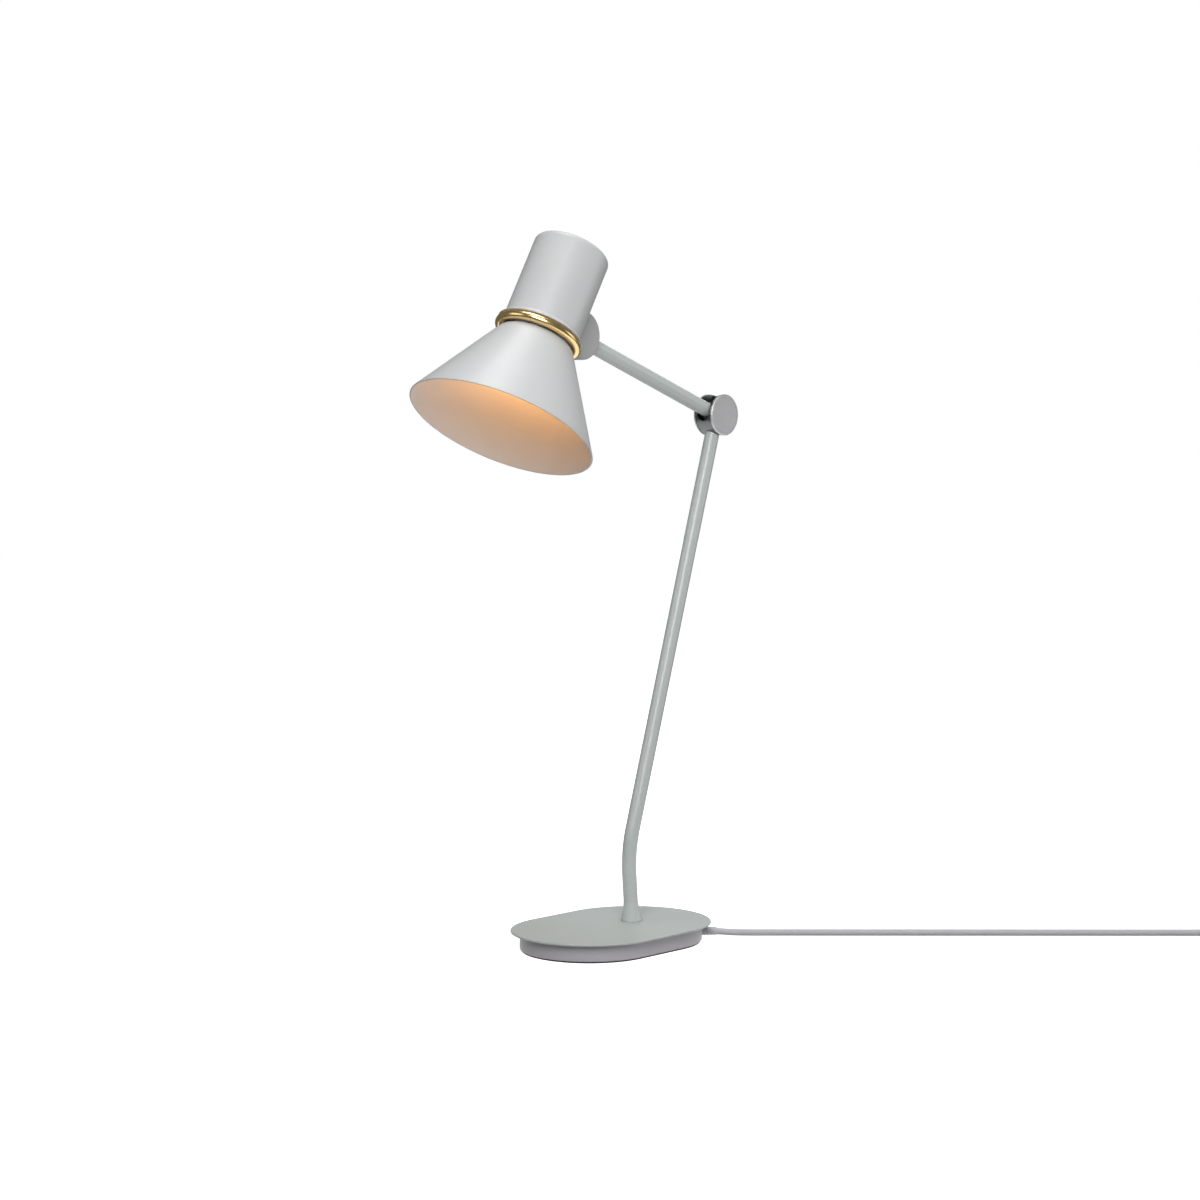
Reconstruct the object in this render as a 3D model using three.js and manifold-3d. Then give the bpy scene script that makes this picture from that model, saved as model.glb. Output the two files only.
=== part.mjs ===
// Architect desk lamp: a weighted stadium base, a cranked lower arm that swivels on it, a straight
// upper arm on a friction elbow, and a conical head with a gold ring that tilts on the upper arm.
//
// Millimetres, +Z up. The origin is the middle of the base's underside. Both arms lie in the XZ
// plane: the head reaches towards -X and the mains cord leaves near the +X end.
import * as THREE from "three";
import { mergeVertices } from "three/addons/utils/BufferGeometryUtils.js";
import Module from "manifold-3d";

const wasm = await Module();
wasm.setup();

// ------------------------------------------------------------------ driving dimensions
const GAP = 0.3;                     // clearance between pieces that touch or fit together

const BASE_LENGTH = 210;             // top plate, over its round ends
const BASE_WIDTH = 149;
const BASE_TOP = 19.5;               // upper face of the plate above the table
const PLATE_THICK = 2;
const PLATE_EDGE = 0.7;              // bevel round the plate
const OVERHANG = 8.7;                // plate edge to skirt
const SKIRT_WALL = 2.5;
const PAD_THICK = 1.2;
const PAD_INSET = 1.5;               // skirt to pad
const COVER_THICK = 1.2;
const BALLAST_TOP = 15;
const SCREW_PLACES = [[-62, 34], [-62, -34], [78, 24]];
const SCREW_RADIUS = 2;
const SCREW_HEAD = 4;

const FOOT_X = 28.5;                 // swivel axis of the lower arm
const STUD_RADIUS = 5;
const STUD_BORE = 3.2;
const FERRULE_HEIGHT = 20;
const FERRULE_RADIUS = 10.6;

const TUBE_RADIUS = 7;               // both arms
const TUBE_BORE = 6;
const SPIGOT_RADIUS = TUBE_BORE - GAP;
const SPIGOT_LENGTH = 17;            // what each spigot holds inside its tube
const FOOT_LEAN = 4.5;               // degrees towards the head, below the bend
const BEND_RISE = 67;                // plate to the corner of the bend
const BEND_RADIUS = 120;
const LOWER_BACK = 17;               // degrees away from the head, above the bend
const LOWER_LENGTH = 434;            // corner of the bend to the elbow axis
const UPPER_RISE = 20;               // degrees above the horizontal
const UPPER_LENGTH = 214;            // elbow axis to head axis

const DRUM_RADIUS = 19.7;
const DRUM_HALF = 9.5;               // half the drum's length along the pin
const DRUM_BORE = 17.6;
const SLOT_HALF = TUBE_RADIUS + 0.4; // half the slot that an arm swings in
const DISC_RADIUS = 20;
const DISC_FACE = 12;                // outer face of an elbow disc from the middle plane
const DISC_BEVEL = 0.8;
const PIN_RADIUS = 4;
const NUT_BOSS = 6;
const ELBOW_HUB = 13;
const HEAD_HUB = 11;
const HUB_HALF = 5.3;
const WASHER_HALF = 7.1;             // outer face of a friction washer from the middle plane
const ELBOW_DOWN = 15;               // degrees of travel below the rest pose
const ELBOW_UP = 75;

const HEAD_TILT = 30;                // head axis from the vertical at rest
const HEAD_DOWN = 40;                // degrees of travel towards the arm
const HEAD_UP = 60;
const PIVOT_HEIGHT = 121;            // pivot above the rim, along the head axis
const PIVOT_OFFSET = 40.5;           // pivot behind the head axis
const HOUSING_RADIUS = 22.5;
const HOUSING_HALF = 11.8;
const HOUSING_BORE = 19;
const HOUSING_EDGE = 1;
const BOLT_HEAD = 5.3;

const SHADE_RIM = 88;                // rim radius
const SHADE_ANGLE = 30;              // half angle of the cone
const SHADE_TOP = 91.5;
const SHADE_SHOULDER = 6;            // radius of the rounded shoulder
const SHADE_WALL = 1.5;
const NECK_RADIUS = 30;
const NECK_BORE = 27;
const RING_HEIGHT = 96;              // gold ring above the rim
const RING_MIDDLE = 37.4;
const RING_SECTION = 4;
const COLLAR_FOOT = 100.4;
const CAP_FOOT = 106;
const CAP_TOP = 188;
const CAP_RADIUS = 36;
const CAP_WALL = 1.5;
const CAP_EDGE = 5;

const BULB_HEIGHT = 68;              // centre of the bulb's globe above the rim
const BULB_RADIUS = 30;
const BULB_WALL = 1;
const BULB_NECK = 13;
const BULB_FOOT = 118.5;             // where the glass meets the screw base
const SCREW_BASE_TOP = 145;
const HOLDER_RADIUS = 20;
const HOLDER_TOP = 155;
const BRACKET_THICK = 2;

const SWITCH_RADIUS = 10;
const SWITCH_FOOT = 170;
const NECK_OF_SWITCH = 8.2;
const BUTTON_RADIUS = 6;
const BUTTON_PROUD = 4.5;            // above the cap

const LEAD_RADIUS = 2;               // the insulated pair inside the lamp

const CORD_RADIUS = 3.25;
const CORD_EXIT = [88, -32, 5];      // middle of the outlet in the skirt
const CORD_HEADING = -45;            // degrees about +Z, from +X
const RELIEF_LENGTH = 19;            // strain relief outside the skirt
const RELIEF_RADIUS = 4.4;
const CORD_SIDES = 8;
const CORD_STEPS = 32;               // steps along the free stretch, about 2.5 diameters each
// Route of the free cord from the strain relief to the coil, on the table, chosen by hand.
const CORD_ROUTE = [
  [101.8, -45.8, 4.6], [108, -52.1, 4.0], [115, -59.4, 3.5], [124, -68.9, 3.3], [137, -82.7, 3.3],
  [150, -96.7, 3.3], [175, -123.7, 3.3], [200, -150.7, 3.3], [225, -177.7, 3.3], [250, -204.7, 3.3],
  [275, -231.7, 3.3], [300, -258.7, 3.3], [325, -285.7, 3.3], [350, -312.7, 3.3], [375, -339.7, 3.3],
  [400, -366.7, 3.3], [425, -393.7, 3.3], [446, -416.4, 3.3],
];
const COIL_CENTRE = [494, -405.5];
const COIL_MIDDLE = 36;              // radius at the middle of the turns
const COIL_HALF_WIDTH = 10;
const COIL_HEIGHT = 13.2;
// The short free end between the coil and the plug.
const TAIL_ROUTE = [
  [542, -418.6, 9.1], [548.2, -411, 7.4], [554.4, -400.7, 5.4], [558.8, -389.6, 5.4],
  [561.1, -380.4, 6.8], [561.5, -377.9, 6.9],
];
const PLUG_HEADING = 81;

const PLUG_HALF_HEIGHT = 6.8;
const PLUG_LENGTH = 36;
const PIN_LENGTH = 19;
const PIN_SPACING = 18.6;

const FINE = 36;                     // segments round a large visible circle
const PLAIN = 24;
const COARSE = 12;
const LEAD_SIDES = 8;
const STADIUM_ARC = 12;
const SLOT_ARC = 6;

// ------------------------------------------------------------------ finishes
const paint = { color: 0xc9cfcc, roughness: 0.55, metalness: 0.1 };
const satinSteel = { color: 0x6d7271, roughness: 0.35, metalness: 0.9 };
const satinAluminium = { color: 0xa9a9ab, roughness: 0.4, metalness: 0.85 };
const skirtGrey = { color: 0x9b979f, roughness: 0.45, metalness: 0.4 };
const gold = { color: 0xe0a94e, roughness: 0.12, metalness: 1 };
const iron = { color: 0x3c3c3e, roughness: 0.8, metalness: 0.6 };
const zinc = { color: 0xb9bcc0, roughness: 0.4, metalness: 0.9 };
const blackRubber = { color: 0x202022, roughness: 0.85, metalness: 0 };
const nylon = { color: 0xe6e3d8, roughness: 0.5, metalness: 0 };
const whitePlastic = { color: 0xf0efec, roughness: 0.45, metalness: 0 };
const greyPlastic = { color: 0xa7a8ab, roughness: 0.5, metalness: 0 };
const braid = { color: 0x9f9fa4, roughness: 0.9, metalness: 0 };
const opalGlass = { color: 0xfff1dc, roughness: 0.3, metalness: 0 };
const nickel = { color: 0xc8c6c0, roughness: 0.25, metalness: 1 };

// ------------------------------------------------------------------ helpers
const radians = THREE.MathUtils.degToRad;

// Turns a geometry's faces outward if they face inward.
function outward(geometry) {
  const flat = geometry.index ? geometry.toNonIndexed() : geometry;
  const place = flat.attributes.position;
  const corners = [new THREE.Vector3(), new THREE.Vector3(), new THREE.Vector3()];
  let volume = 0;
  for (let i = 0; i < place.count; i += 3) {
    corners.forEach((corner, k) => corner.fromBufferAttribute(place, i + k));
    volume += corners[0].dot(corners[1].clone().cross(corners[2]));
  }
  if (volume < 0) {
    for (let i = 0; i < place.count; i += 3) {
      const [x, y, z] = [place.getX(i), place.getY(i), place.getZ(i)];
      place.setXYZ(i, place.getX(i + 1), place.getY(i + 1), place.getZ(i + 1));
      place.setXYZ(i + 1, x, y, z);
    }
  }
  flat.deleteAttribute("normal");
  flat.deleteAttribute("uv");
  return flat;
}

// A geometry as a manifold-3d solid, for cutting and joining.
function solid(geometry) {
  const merged = mergeVertices(outward(geometry), 1e-4);
  const index = merged.index.array;
  const kept = [];
  for (let i = 0; i < index.length; i += 3) {
    const [a, b, c] = [index[i], index[i + 1], index[i + 2]];
    if (a !== b && b !== c && c !== a) kept.push(a, b, c);
  }
  return new wasm.Manifold(new wasm.Mesh({
    numProp: 3,
    vertProperties: merged.attributes.position.array,
    triVerts: new Uint32Array(kept),
  }));
}

// A manifold-3d solid back as a geometry.
function geometryOf(shape) {
  const mesh = shape.getMesh();
  const geometry = new THREE.BufferGeometry();
  geometry.setAttribute("position", new THREE.BufferAttribute(mesh.vertProperties, 3));
  geometry.setIndex(new THREE.BufferAttribute(mesh.triVerts, 1));
  return geometry;
}

// One geometry less several others.
function cut(geometry, ...tools) {
  return geometryOf(tools.reduce((rest, tool) => rest.subtract(solid(tool)), solid(geometry)));
}

// Several geometries joined into one.
function join(...geometries) {
  return geometryOf(geometries.map(solid).reduce((whole, next) => whole.add(next)));
}

// A solid of revolution about Z from a closed or axis-to-axis outline of [radius, height].
function turned(outline, segments = PLAIN) {
  const points = outline.map(([radius, height]) => new THREE.Vector2(radius, height));
  return outward(new THREE.LatheGeometry(points, segments).rotateX(Math.PI / 2));
}

// A washer or sleeve about Z: the outline closes on itself.
function sleeve(inner, outer, low, high, segments = PLAIN) {
  return turned([[inner, low], [outer, low], [outer, high], [inner, high], [inner, low]], segments);
}

// A solid rod about Z.
function rod(radius, low, high, segments = PLAIN) {
  return turned([[0, low], [radius, low], [radius, high], [0, high]], segments);
}

// Turns a geometry made about Z so that its axis lies along +Y.
function alongY(geometry) {
  return geometry.rotateX(-Math.PI / 2);
}

function box(low, high) {
  const size = high.map((value, i) => value - low[i]);
  const middle = high.map((value, i) => (value + low[i]) / 2);
  return new THREE.BoxGeometry(...size).translate(...middle);
}

// Outline of a stadium: two half circles joined by straight sides.
function stadium(length, width) {
  const shape = new THREE.Shape();
  const reach = (length - width) / 2;
  shape.absarc(reach, 0, width / 2, -Math.PI / 2, Math.PI / 2, false);
  shape.absarc(-reach, 0, width / 2, Math.PI / 2, 3 * Math.PI / 2, false);
  shape.closePath();
  return shape;
}

// A stadium slab, with an optional bevel on both faces.
function slab(length, width, low, high, bevel = 0) {
  const settings = {
    depth: high - low - 2 * bevel,
    curveSegments: STADIUM_ARC,
    bevelEnabled: bevel > 0,
    bevelThickness: bevel,
    bevelSize: bevel,
    bevelSegments: 1,
  };
  const shape = stadium(length - 2 * bevel, width - 2 * bevel);
  return new THREE.ExtrudeGeometry(shape, settings).translate(0, 0, low + bevel);
}

// A path through stations, with no steps between them.
class StationPath extends THREE.Curve {
  constructor(stations) {
    super();
    this.stations = stations;
  }
  getPoint(t) {
    const last = this.stations.length - 1;
    const i = Math.min(Math.floor(t * last), last - 1);
    return this.stations[i].clone().lerp(this.stations[i + 1], t * last - i);
  }
  getPointAt(t) {
    return this.getPoint(t);
  }
  getTangentAt(t) {
    return this.getTangent(t);
  }
}

// A round section swept along stations; a bore makes it a tube. A full arc takes twice the
// segments that it is given.
function swept(stations, radius, sides, bore = 0) {
  const section = new THREE.Shape().absarc(0, 0, radius, 0, 2 * Math.PI, false);
  if (bore > 0) section.holes.push(new THREE.Path().absarc(0, 0, bore, 0, 2 * Math.PI, true));
  return outward(new THREE.ExtrudeGeometry(section, {
    extrudePath: new StationPath(stations),
    steps: stations.length - 1,
    curveSegments: sides / 2,
  }));
}

function vectors(points) {
  return points.map((point) => new THREE.Vector3(...point));
}

// The slot that an arm swings in, about Y: a wedge between two directions with round ends.
// Directions are degrees above +X, in the XZ plane.
function swingSlot(fromAngle, toAngle, reach) {
  const wedge = new THREE.Shape();
  wedge.moveTo(0, 0);
  wedge.lineTo(reach * Math.cos(radians(fromAngle)), reach * Math.sin(radians(fromAngle)));
  wedge.absarc(0, 0, reach, radians(fromAngle), radians(toAngle), false);
  wedge.closePath();
  const middle = new THREE.ExtrudeGeometry(wedge, {
    depth: 2 * SLOT_HALF,
    curveSegments: SLOT_ARC,
    bevelEnabled: false,
  }).translate(0, 0, -SLOT_HALF).rotateX(Math.PI / 2);
  const ends = [fromAngle, toAngle].map((angle) => {
    return rod(SLOT_HALF, 0, reach, PLAIN).rotateY(radians(90 - angle));
  });
  return join(middle, ...ends);
}

function mesh(name, geometry, finish) {
  const piece = new THREE.Mesh(outward(geometry), new THREE.MeshStandardMaterial(finish));
  piece.name = name;
  return piece;
}

function group(pieces, position = [0, 0, 0], turnY = 0) {
  const holder = new THREE.Group();
  holder.add(...pieces);
  holder.position.set(...position);
  holder.rotation.y = radians(turnY);
  return holder;
}

// ------------------------------------------------------------------ key places
const foot = new THREE.Vector3(FOOT_X, 0, BASE_TOP);
const footDirection = new THREE.Vector3(-Math.sin(radians(FOOT_LEAN)), 0, Math.cos(radians(FOOT_LEAN)));
const backDirection = new THREE.Vector3(Math.sin(radians(LOWER_BACK)), 0, Math.cos(radians(LOWER_BACK)));
const corner = foot.clone().addScaledVector(footDirection, BEND_RISE / footDirection.z);
const elbow = corner.clone().addScaledVector(backDirection, LOWER_LENGTH);
const headPivot = elbow.clone().add(new THREE.Vector3(
  -UPPER_LENGTH * Math.cos(radians(UPPER_RISE)), 0, UPPER_LENGTH * Math.sin(radians(UPPER_RISE))));
const headAxis = new THREE.Vector3(Math.sin(radians(HEAD_TILT)), 0, Math.cos(radians(HEAD_TILT)));
const headBack = new THREE.Vector3(headAxis.z, 0, -headAxis.x);
const rimCentre = headPivot.clone()
  .addScaledVector(headAxis, -PIVOT_HEIGHT)
  .addScaledVector(headBack, -PIVOT_OFFSET);

// ------------------------------------------------------------------ base
const skirtLength = BASE_LENGTH - 2 * OVERHANG;
const skirtWidth = BASE_WIDTH - 2 * OVERHANG;
const skirtFoot = PAD_THICK + GAP;
const skirtTop = BASE_TOP - PLATE_THICK - GAP;
const insideLength = skirtLength - 2 * SKIRT_WALL - 2 * GAP;
const insideWidth = skirtWidth - 2 * SKIRT_WALL - 2 * GAP;
const coverTop = skirtFoot + COVER_THICK;
const ballastFoot = coverTop + GAP;
const reliefInside = 9;

// A shape along the outlet's heading, placed with its origin in the outlet.
function atOutlet(geometry) {
  return geometry.rotateY(Math.PI / 2).rotateZ(radians(CORD_HEADING)).translate(...CORD_EXIT);
}

function outletCut() {
  return atOutlet(rod(RELIEF_RADIUS + GAP, -reliefInside - 3, 20, COARSE));
}

function basePlate() {
  const top = slab(BASE_LENGTH, BASE_WIDTH, BASE_TOP - PLATE_THICK, BASE_TOP, PLATE_EDGE);
  const bosses = SCREW_PLACES.map(([x, y]) => {
    return rod(5, BALLAST_TOP + GAP, BASE_TOP - 1, COARSE).translate(x, y, 0);
  });
  const holes = SCREW_PLACES.map(([x, y]) => {
    return rod(SCREW_RADIUS + GAP, 0, BASE_TOP - 1.5, COARSE).translate(x, y, 0);
  });
  const stemHole = rod(7.3, 0, BASE_TOP + 5, COARSE).translate(FOOT_X, 0, 0);
  return cut(join(top, ...bosses), ...holes, stemHole);
}

function baseSkirt() {
  const outer = slab(skirtLength, skirtWidth, skirtFoot, skirtTop);
  const inner = slab(skirtLength - 2 * SKIRT_WALL, skirtWidth - 2 * SKIRT_WALL, 0, BASE_TOP);
  return cut(outer, inner, outletCut());
}

function ballast() {
  const weight = slab(insideLength, insideWidth, ballastFoot, BALLAST_TOP);
  const pocket = rod(14, 0, BASE_TOP, PLAIN).translate(FOOT_X, 0, 0);
  const run = Math.hypot(CORD_EXIT[0] - FOOT_X, CORD_EXIT[1]);
  const channel = box([0, -6, 0], [run, 6, 10])
    .rotateZ(Math.atan2(CORD_EXIT[1], CORD_EXIT[0] - FOOT_X))
    .translate(FOOT_X, 0, 0);
  const holes = SCREW_PLACES.map(([x, y]) => {
    return rod(SCREW_HEAD + GAP, 0, ballastFoot + 1.5, COARSE)
      .translate(x, y, 0);
  });
  const shanks = SCREW_PLACES.map(([x, y]) => {
    return rod(SCREW_RADIUS + GAP, 0, BASE_TOP, COARSE).translate(x, y, 0);
  });
  return cut(weight, pocket, channel, outletCut(), ...holes, ...shanks);
}

function baseCover() {
  const sheet = slab(insideLength, insideWidth, skirtFoot, coverTop);
  const holes = SCREW_PLACES.map(([x, y]) => {
    return rod(SCREW_HEAD + GAP, 0, BASE_TOP, COARSE).translate(x, y, 0);
  });
  return cut(sheet, outletCut(), ...holes);
}

function footPad() {
  return cut(slab(skirtLength - 2 * PAD_INSET, skirtWidth - 2 * PAD_INSET, 0, PAD_THICK), outletCut());
}

function baseScrew([x, y]) {
  const low = skirtFoot + 0.1;
  return turned([
    [0, low], [SCREW_HEAD, low], [SCREW_RADIUS, low + 2], [SCREW_RADIUS, BASE_TOP - 2], [0, BASE_TOP - 2],
  ], COARSE).translate(x, y, 0);
}

function swivelBush() {
  const flangeLow = BASE_TOP - PLATE_THICK - GAP - 1.5;
  return turned([
    [STUD_RADIUS + GAP, flangeLow], [11, flangeLow], [11, flangeLow + 1.5], [7, flangeLow + 1.5],
    [7, BASE_TOP], [STUD_RADIUS + GAP, BASE_TOP], [STUD_RADIUS + GAP, flangeLow],
  ], COARSE).translate(FOOT_X, 0, 0);
}

// Tapered rubber sleeve with a collar that locks it behind the skirt.
function strainRelief() {
  const inner = CORD_RADIUS + 0.1;
  const tip = RELIEF_LENGTH;
  return atOutlet(turned([
    [inner, -reliefInside], [RELIEF_RADIUS, -reliefInside], [RELIEF_RADIUS, 1],
    [RELIEF_RADIUS - 0.3, 4], [CORD_RADIUS + 0.6, tip], [inner, tip], [inner, -reliefInside],
  ], COARSE));
}

function baseLead() {
  const start = new THREE.Vector3(...CORD_EXIT);
  const heading = new THREE.Vector3(
    Math.cos(radians(CORD_HEADING)), Math.sin(radians(CORD_HEADING)), 0);
  start.addScaledVector(heading, -reliefInside - GAP);
  const end = new THREE.Vector3(FOOT_X + LEAD_RADIUS + GAP, 0, 4.9);
  const between = [0.25, 0.5, 0.8].map((share) => start.clone().lerp(end, share));
  return swept([start, ...between, end], LEAD_RADIUS, LEAD_SIDES);
}

// ------------------------------------------------------------------ lower arm
// Stations along the cranked tube between two distances from the foot.
function lowerStations(fromFoot, shortOfElbow) {
  const bend = radians(FOOT_LEAN + LOWER_BACK);
  const tangent = BEND_RADIUS * Math.tan(bend / 2);
  const enter = corner.clone().addScaledVector(footDirection, -tangent);
  const inward = new THREE.Vector3(footDirection.z, 0, -footDirection.x);
  const middle = enter.clone().addScaledVector(inward, BEND_RADIUS);
  const stations = [foot.clone().addScaledVector(footDirection, fromFoot)];
  const steps = 10;
  for (let i = 0; i <= steps; i += 1) {
    const turn = bend * i / steps;
    stations.push(middle.clone()
      .addScaledVector(inward, -BEND_RADIUS * Math.cos(turn))
      .addScaledVector(footDirection, BEND_RADIUS * Math.sin(turn)));
  }
  stations.push(elbow.clone().addScaledVector(backDirection, -shortOfElbow));
  return stations;
}

function lowerTube() {
  const tube = swept(lowerStations(FERRULE_HEIGHT + GAP, 8), TUBE_RADIUS, COARSE, TUBE_BORE);
  const saddle = alongY(rod(DRUM_RADIUS + GAP, -15, 15, FINE)).translate(...elbow.toArray());
  return cut(tube, saddle);
}

// Smooth flare between the plate and the tube, with a spigot up inside the tube.
function footFerrule() {
  const flare = [[0, -3], [FERRULE_RADIUS + 0.6, -3], [FERRULE_RADIUS, 0.5]];
  const steps = 6;
  for (let i = 1; i <= steps; i += 1) {
    const share = i / steps;
    const radius = TUBE_RADIUS + (FERRULE_RADIUS - TUBE_RADIUS) * (1 - share) ** 1.5;
    flare.push([radius, 0.5 + (FERRULE_HEIGHT - 0.5) * share]);
  }
  flare.push([SPIGOT_RADIUS, FERRULE_HEIGHT], [SPIGOT_RADIUS, FERRULE_HEIGHT + SPIGOT_LENGTH]);
  flare.push([0, FERRULE_HEIGHT + SPIGOT_LENGTH]);
  const leaning = (geometry) => geometry.rotateY(radians(-FOOT_LEAN)).translate(...foot.toArray());
  const leadHole = leaning(rod(STUD_BORE - 0.2, -5, 60, COARSE));
  const studHole = rod(STUD_RADIUS + GAP, 0, BASE_TOP + 11, COARSE).translate(FOOT_X, 0, 0);
  const under = box([-50, -50, 0], [90, 50, BASE_TOP + GAP]);
  return cut(leaning(turned(flare, PLAIN)), leadHole, studHole, under);
}

function swivelStud() {
  return sleeve(STUD_BORE, STUD_RADIUS, 7.3, BASE_TOP + 10.5, COARSE).translate(FOOT_X, 0, 0);
}

function swivelWasher() {
  return sleeve(STUD_RADIUS + GAP, 9, 13.8, 15.3, COARSE).translate(FOOT_X, 0, 0);
}

function swivelNut() {
  return cut(rod(9.2, 8, 13.5, 6), rod(STUD_RADIUS + GAP, 0, 20, COARSE)).translate(FOOT_X, 0, 0);
}

// Drum on top of the tube: a hollow cylinder with a slot for the upper arm and a spigot below.
function elbowDrum() {
  const body = alongY(rod(DRUM_RADIUS, -DRUM_HALF, DRUM_HALF, FINE));
  const hollow = alongY(rod(DRUM_BORE, -SLOT_HALF, SLOT_HALF, FINE));
  const down = 180 + LOWER_BACK;
  const spigot = rod(SPIGOT_RADIUS, DRUM_BORE + 0.8, DRUM_RADIUS + SPIGOT_LENGTH, COARSE)
    .rotateY(radians(down));
  const leadHole = rod(STUD_BORE - 0.2, DRUM_BORE - 2, DRUM_RADIUS + 30, COARSE).rotateY(radians(down));
  const slot = swingSlot(180 - UPPER_RISE - ELBOW_UP, 180 - UPPER_RISE + ELBOW_DOWN, 25);
  const boltHole = alongY(rod(PIN_RADIUS + GAP, -15, 0, COARSE));
  const nutHole = alongY(rod(NUT_BOSS + GAP, 0, 15, COARSE));
  return cut(join(cut(body, hollow), spigot), slot, leadHole, boltHole, nutHole);
}

function bevelledDisc(inner) {
  return [
    [inner, 0], [DISC_RADIUS, 0], [DISC_RADIUS, DISC_FACE - DRUM_HALF - GAP - DISC_BEVEL],
    [DISC_RADIUS - DISC_BEVEL, DISC_FACE - DRUM_HALF - GAP], [inner, DISC_FACE - DRUM_HALF - GAP],
  ];
}

// The near disc is the flat head of the elbow bolt.
function elbowBolt() {
  const disc = alongY(turned(bevelledDisc(0), FINE)).rotateZ(Math.PI)
    .translate(0, -DRUM_HALF - GAP, 0);
  return join(disc, alongY(rod(PIN_RADIUS, -DRUM_HALF - GAP - 1, 10.6, COARSE)));
}

// The far disc is its nut.
function elbowNut() {
  const disc = alongY(turned(bevelledDisc(0), FINE)).translate(0, DRUM_HALF + GAP, 0);
  const boss = alongY(rod(NUT_BOSS, WASHER_HALF + GAP, DRUM_HALF + GAP + 1, COARSE));
  const thread = alongY(rod(PIN_RADIUS + 0.2, 0, 11, COARSE));
  return cut(join(disc, boss), thread);
}

// A washer stays inside the hub's edge, clear of the spigot.
function frictionWasher(hub, side) {
  return alongY(sleeve(PIN_RADIUS + GAP, hub - 3.4, HUB_HALF + GAP, WASHER_HALF, COARSE))
    .rotateZ(side > 0 ? 0 : Math.PI);
}

// ------------------------------------------------------------------ upper arm, along its local -X
// Hub and half-round spigot; the lead runs under the spigot's flat.
function knuckle(radius) {
  const hub = alongY(rod(radius, -HUB_HALF, HUB_HALF, PLAIN));
  const spigot = rod(SPIGOT_RADIUS, radius - 3, 15 + SPIGOT_LENGTH, COARSE).rotateY(-Math.PI / 2);
  const flat = box([-60, -10, -12], [-radius - 1, 10, -1.3]);
  const pinHole = alongY(rod(PIN_RADIUS + GAP, -10, 10, COARSE));
  return cut(join(hub, cut(spigot, flat)), pinHole);
}

function upperTube() {
  return sleeve(TUBE_BORE, TUBE_RADIUS, 15, UPPER_LENGTH - 14.5, COARSE).rotateY(-Math.PI / 2);
}

function upperLead() {
  return rod(LEAD_RADIUS, 17, UPPER_LENGTH - 17, LEAD_SIDES).rotateY(-Math.PI / 2).translate(0, 0, -3.6);
}

// ------------------------------------------------------------------ head, about its own axis from the rim
function shade() {
  const slope = Math.tan(radians(SHADE_ANGLE));
  // The shoulder is an arc tangent to the cone and to the flat top.
  const sweep = radians(90 - SHADE_ANGLE);
  const arc = (radius, shoulderX) => {
    const points = [];
    for (let i = 0; i <= 4; i += 1) {
      const turn = sweep * (1 - i / 4);
      points.push([shoulderX + radius * Math.sin(turn), SHADE_TOP - SHADE_SHOULDER + radius * Math.cos(turn)]);
    }
    return points;
  };
  const touchRise = SHADE_TOP - SHADE_SHOULDER + SHADE_SHOULDER * Math.sin(radians(SHADE_ANGLE));
  const shoulderX = SHADE_RIM - slope * touchRise - SHADE_SHOULDER * Math.cos(radians(SHADE_ANGLE));
  const wall = SHADE_WALL / Math.cos(radians(SHADE_ANGLE));
  return turned([
    [SHADE_RIM, 0],
    ...arc(SHADE_SHOULDER, shoulderX),
    [NECK_BORE, SHADE_TOP],
    [NECK_BORE, SHADE_TOP - SHADE_WALL],
    ...arc(SHADE_SHOULDER - SHADE_WALL, shoulderX).reverse(),
    [SHADE_RIM - wall, 0],
    [SHADE_RIM, 0],
  ], FINE);
}

// Short sleeve that carries the shade, the ring and the collar on the cap.
function neckSleeve() {
  const seat = RING_MIDDLE - RING_SECTION - 0.4;
  const lip = CAP_RADIUS - CAP_WALL - GAP;
  return turned([
    [NECK_BORE, SHADE_TOP + GAP], [NECK_RADIUS, SHADE_TOP + GAP], [NECK_RADIUS, RING_HEIGHT - 2],
    [seat, RING_HEIGHT - 2], [seat, RING_HEIGHT + 2], [NECK_RADIUS, RING_HEIGHT + 2],
    [NECK_RADIUS, CAP_FOOT + 1], [lip, CAP_FOOT + 1], [lip, CAP_FOOT + 3],
    [NECK_RADIUS - 1, CAP_FOOT + 3], [NECK_RADIUS - 1, CAP_FOOT + 4], [NECK_BORE, CAP_FOOT + 4],
    [NECK_BORE, SHADE_TOP + GAP],
  ], PLAIN);
}

function shadeRing() {
  return sleeve(24, 33, SHADE_TOP - SHADE_WALL - GAP - 1.8, SHADE_TOP - SHADE_WALL - GAP, PLAIN);
}

function goldRing() {
  return outward(new THREE.TorusGeometry(RING_MIDDLE, RING_SECTION, 10, FINE)).translate(0, 0, RING_HEIGHT);
}

// Concave outer face of the collar, from its lip up to the cap.
function collarFace(grow = 0) {
  const face = [[40.6, 0.7], [38.6, 2.2], [37.2, 3.8], [36.5, CAP_FOOT - GAP - COLLAR_FOOT]];
  return face.map(([radius, rise]) => [radius + grow, COLLAR_FOOT + rise]);
}

function capCollar() {
  const inner = NECK_RADIUS + GAP;
  const top = CAP_FOOT - GAP;
  return turned([
    [inner, COLLAR_FOOT], [40.3, COLLAR_FOOT], ...collarFace(), [inner, top], [inner, COLLAR_FOOT],
  ], FINE);
}

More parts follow.
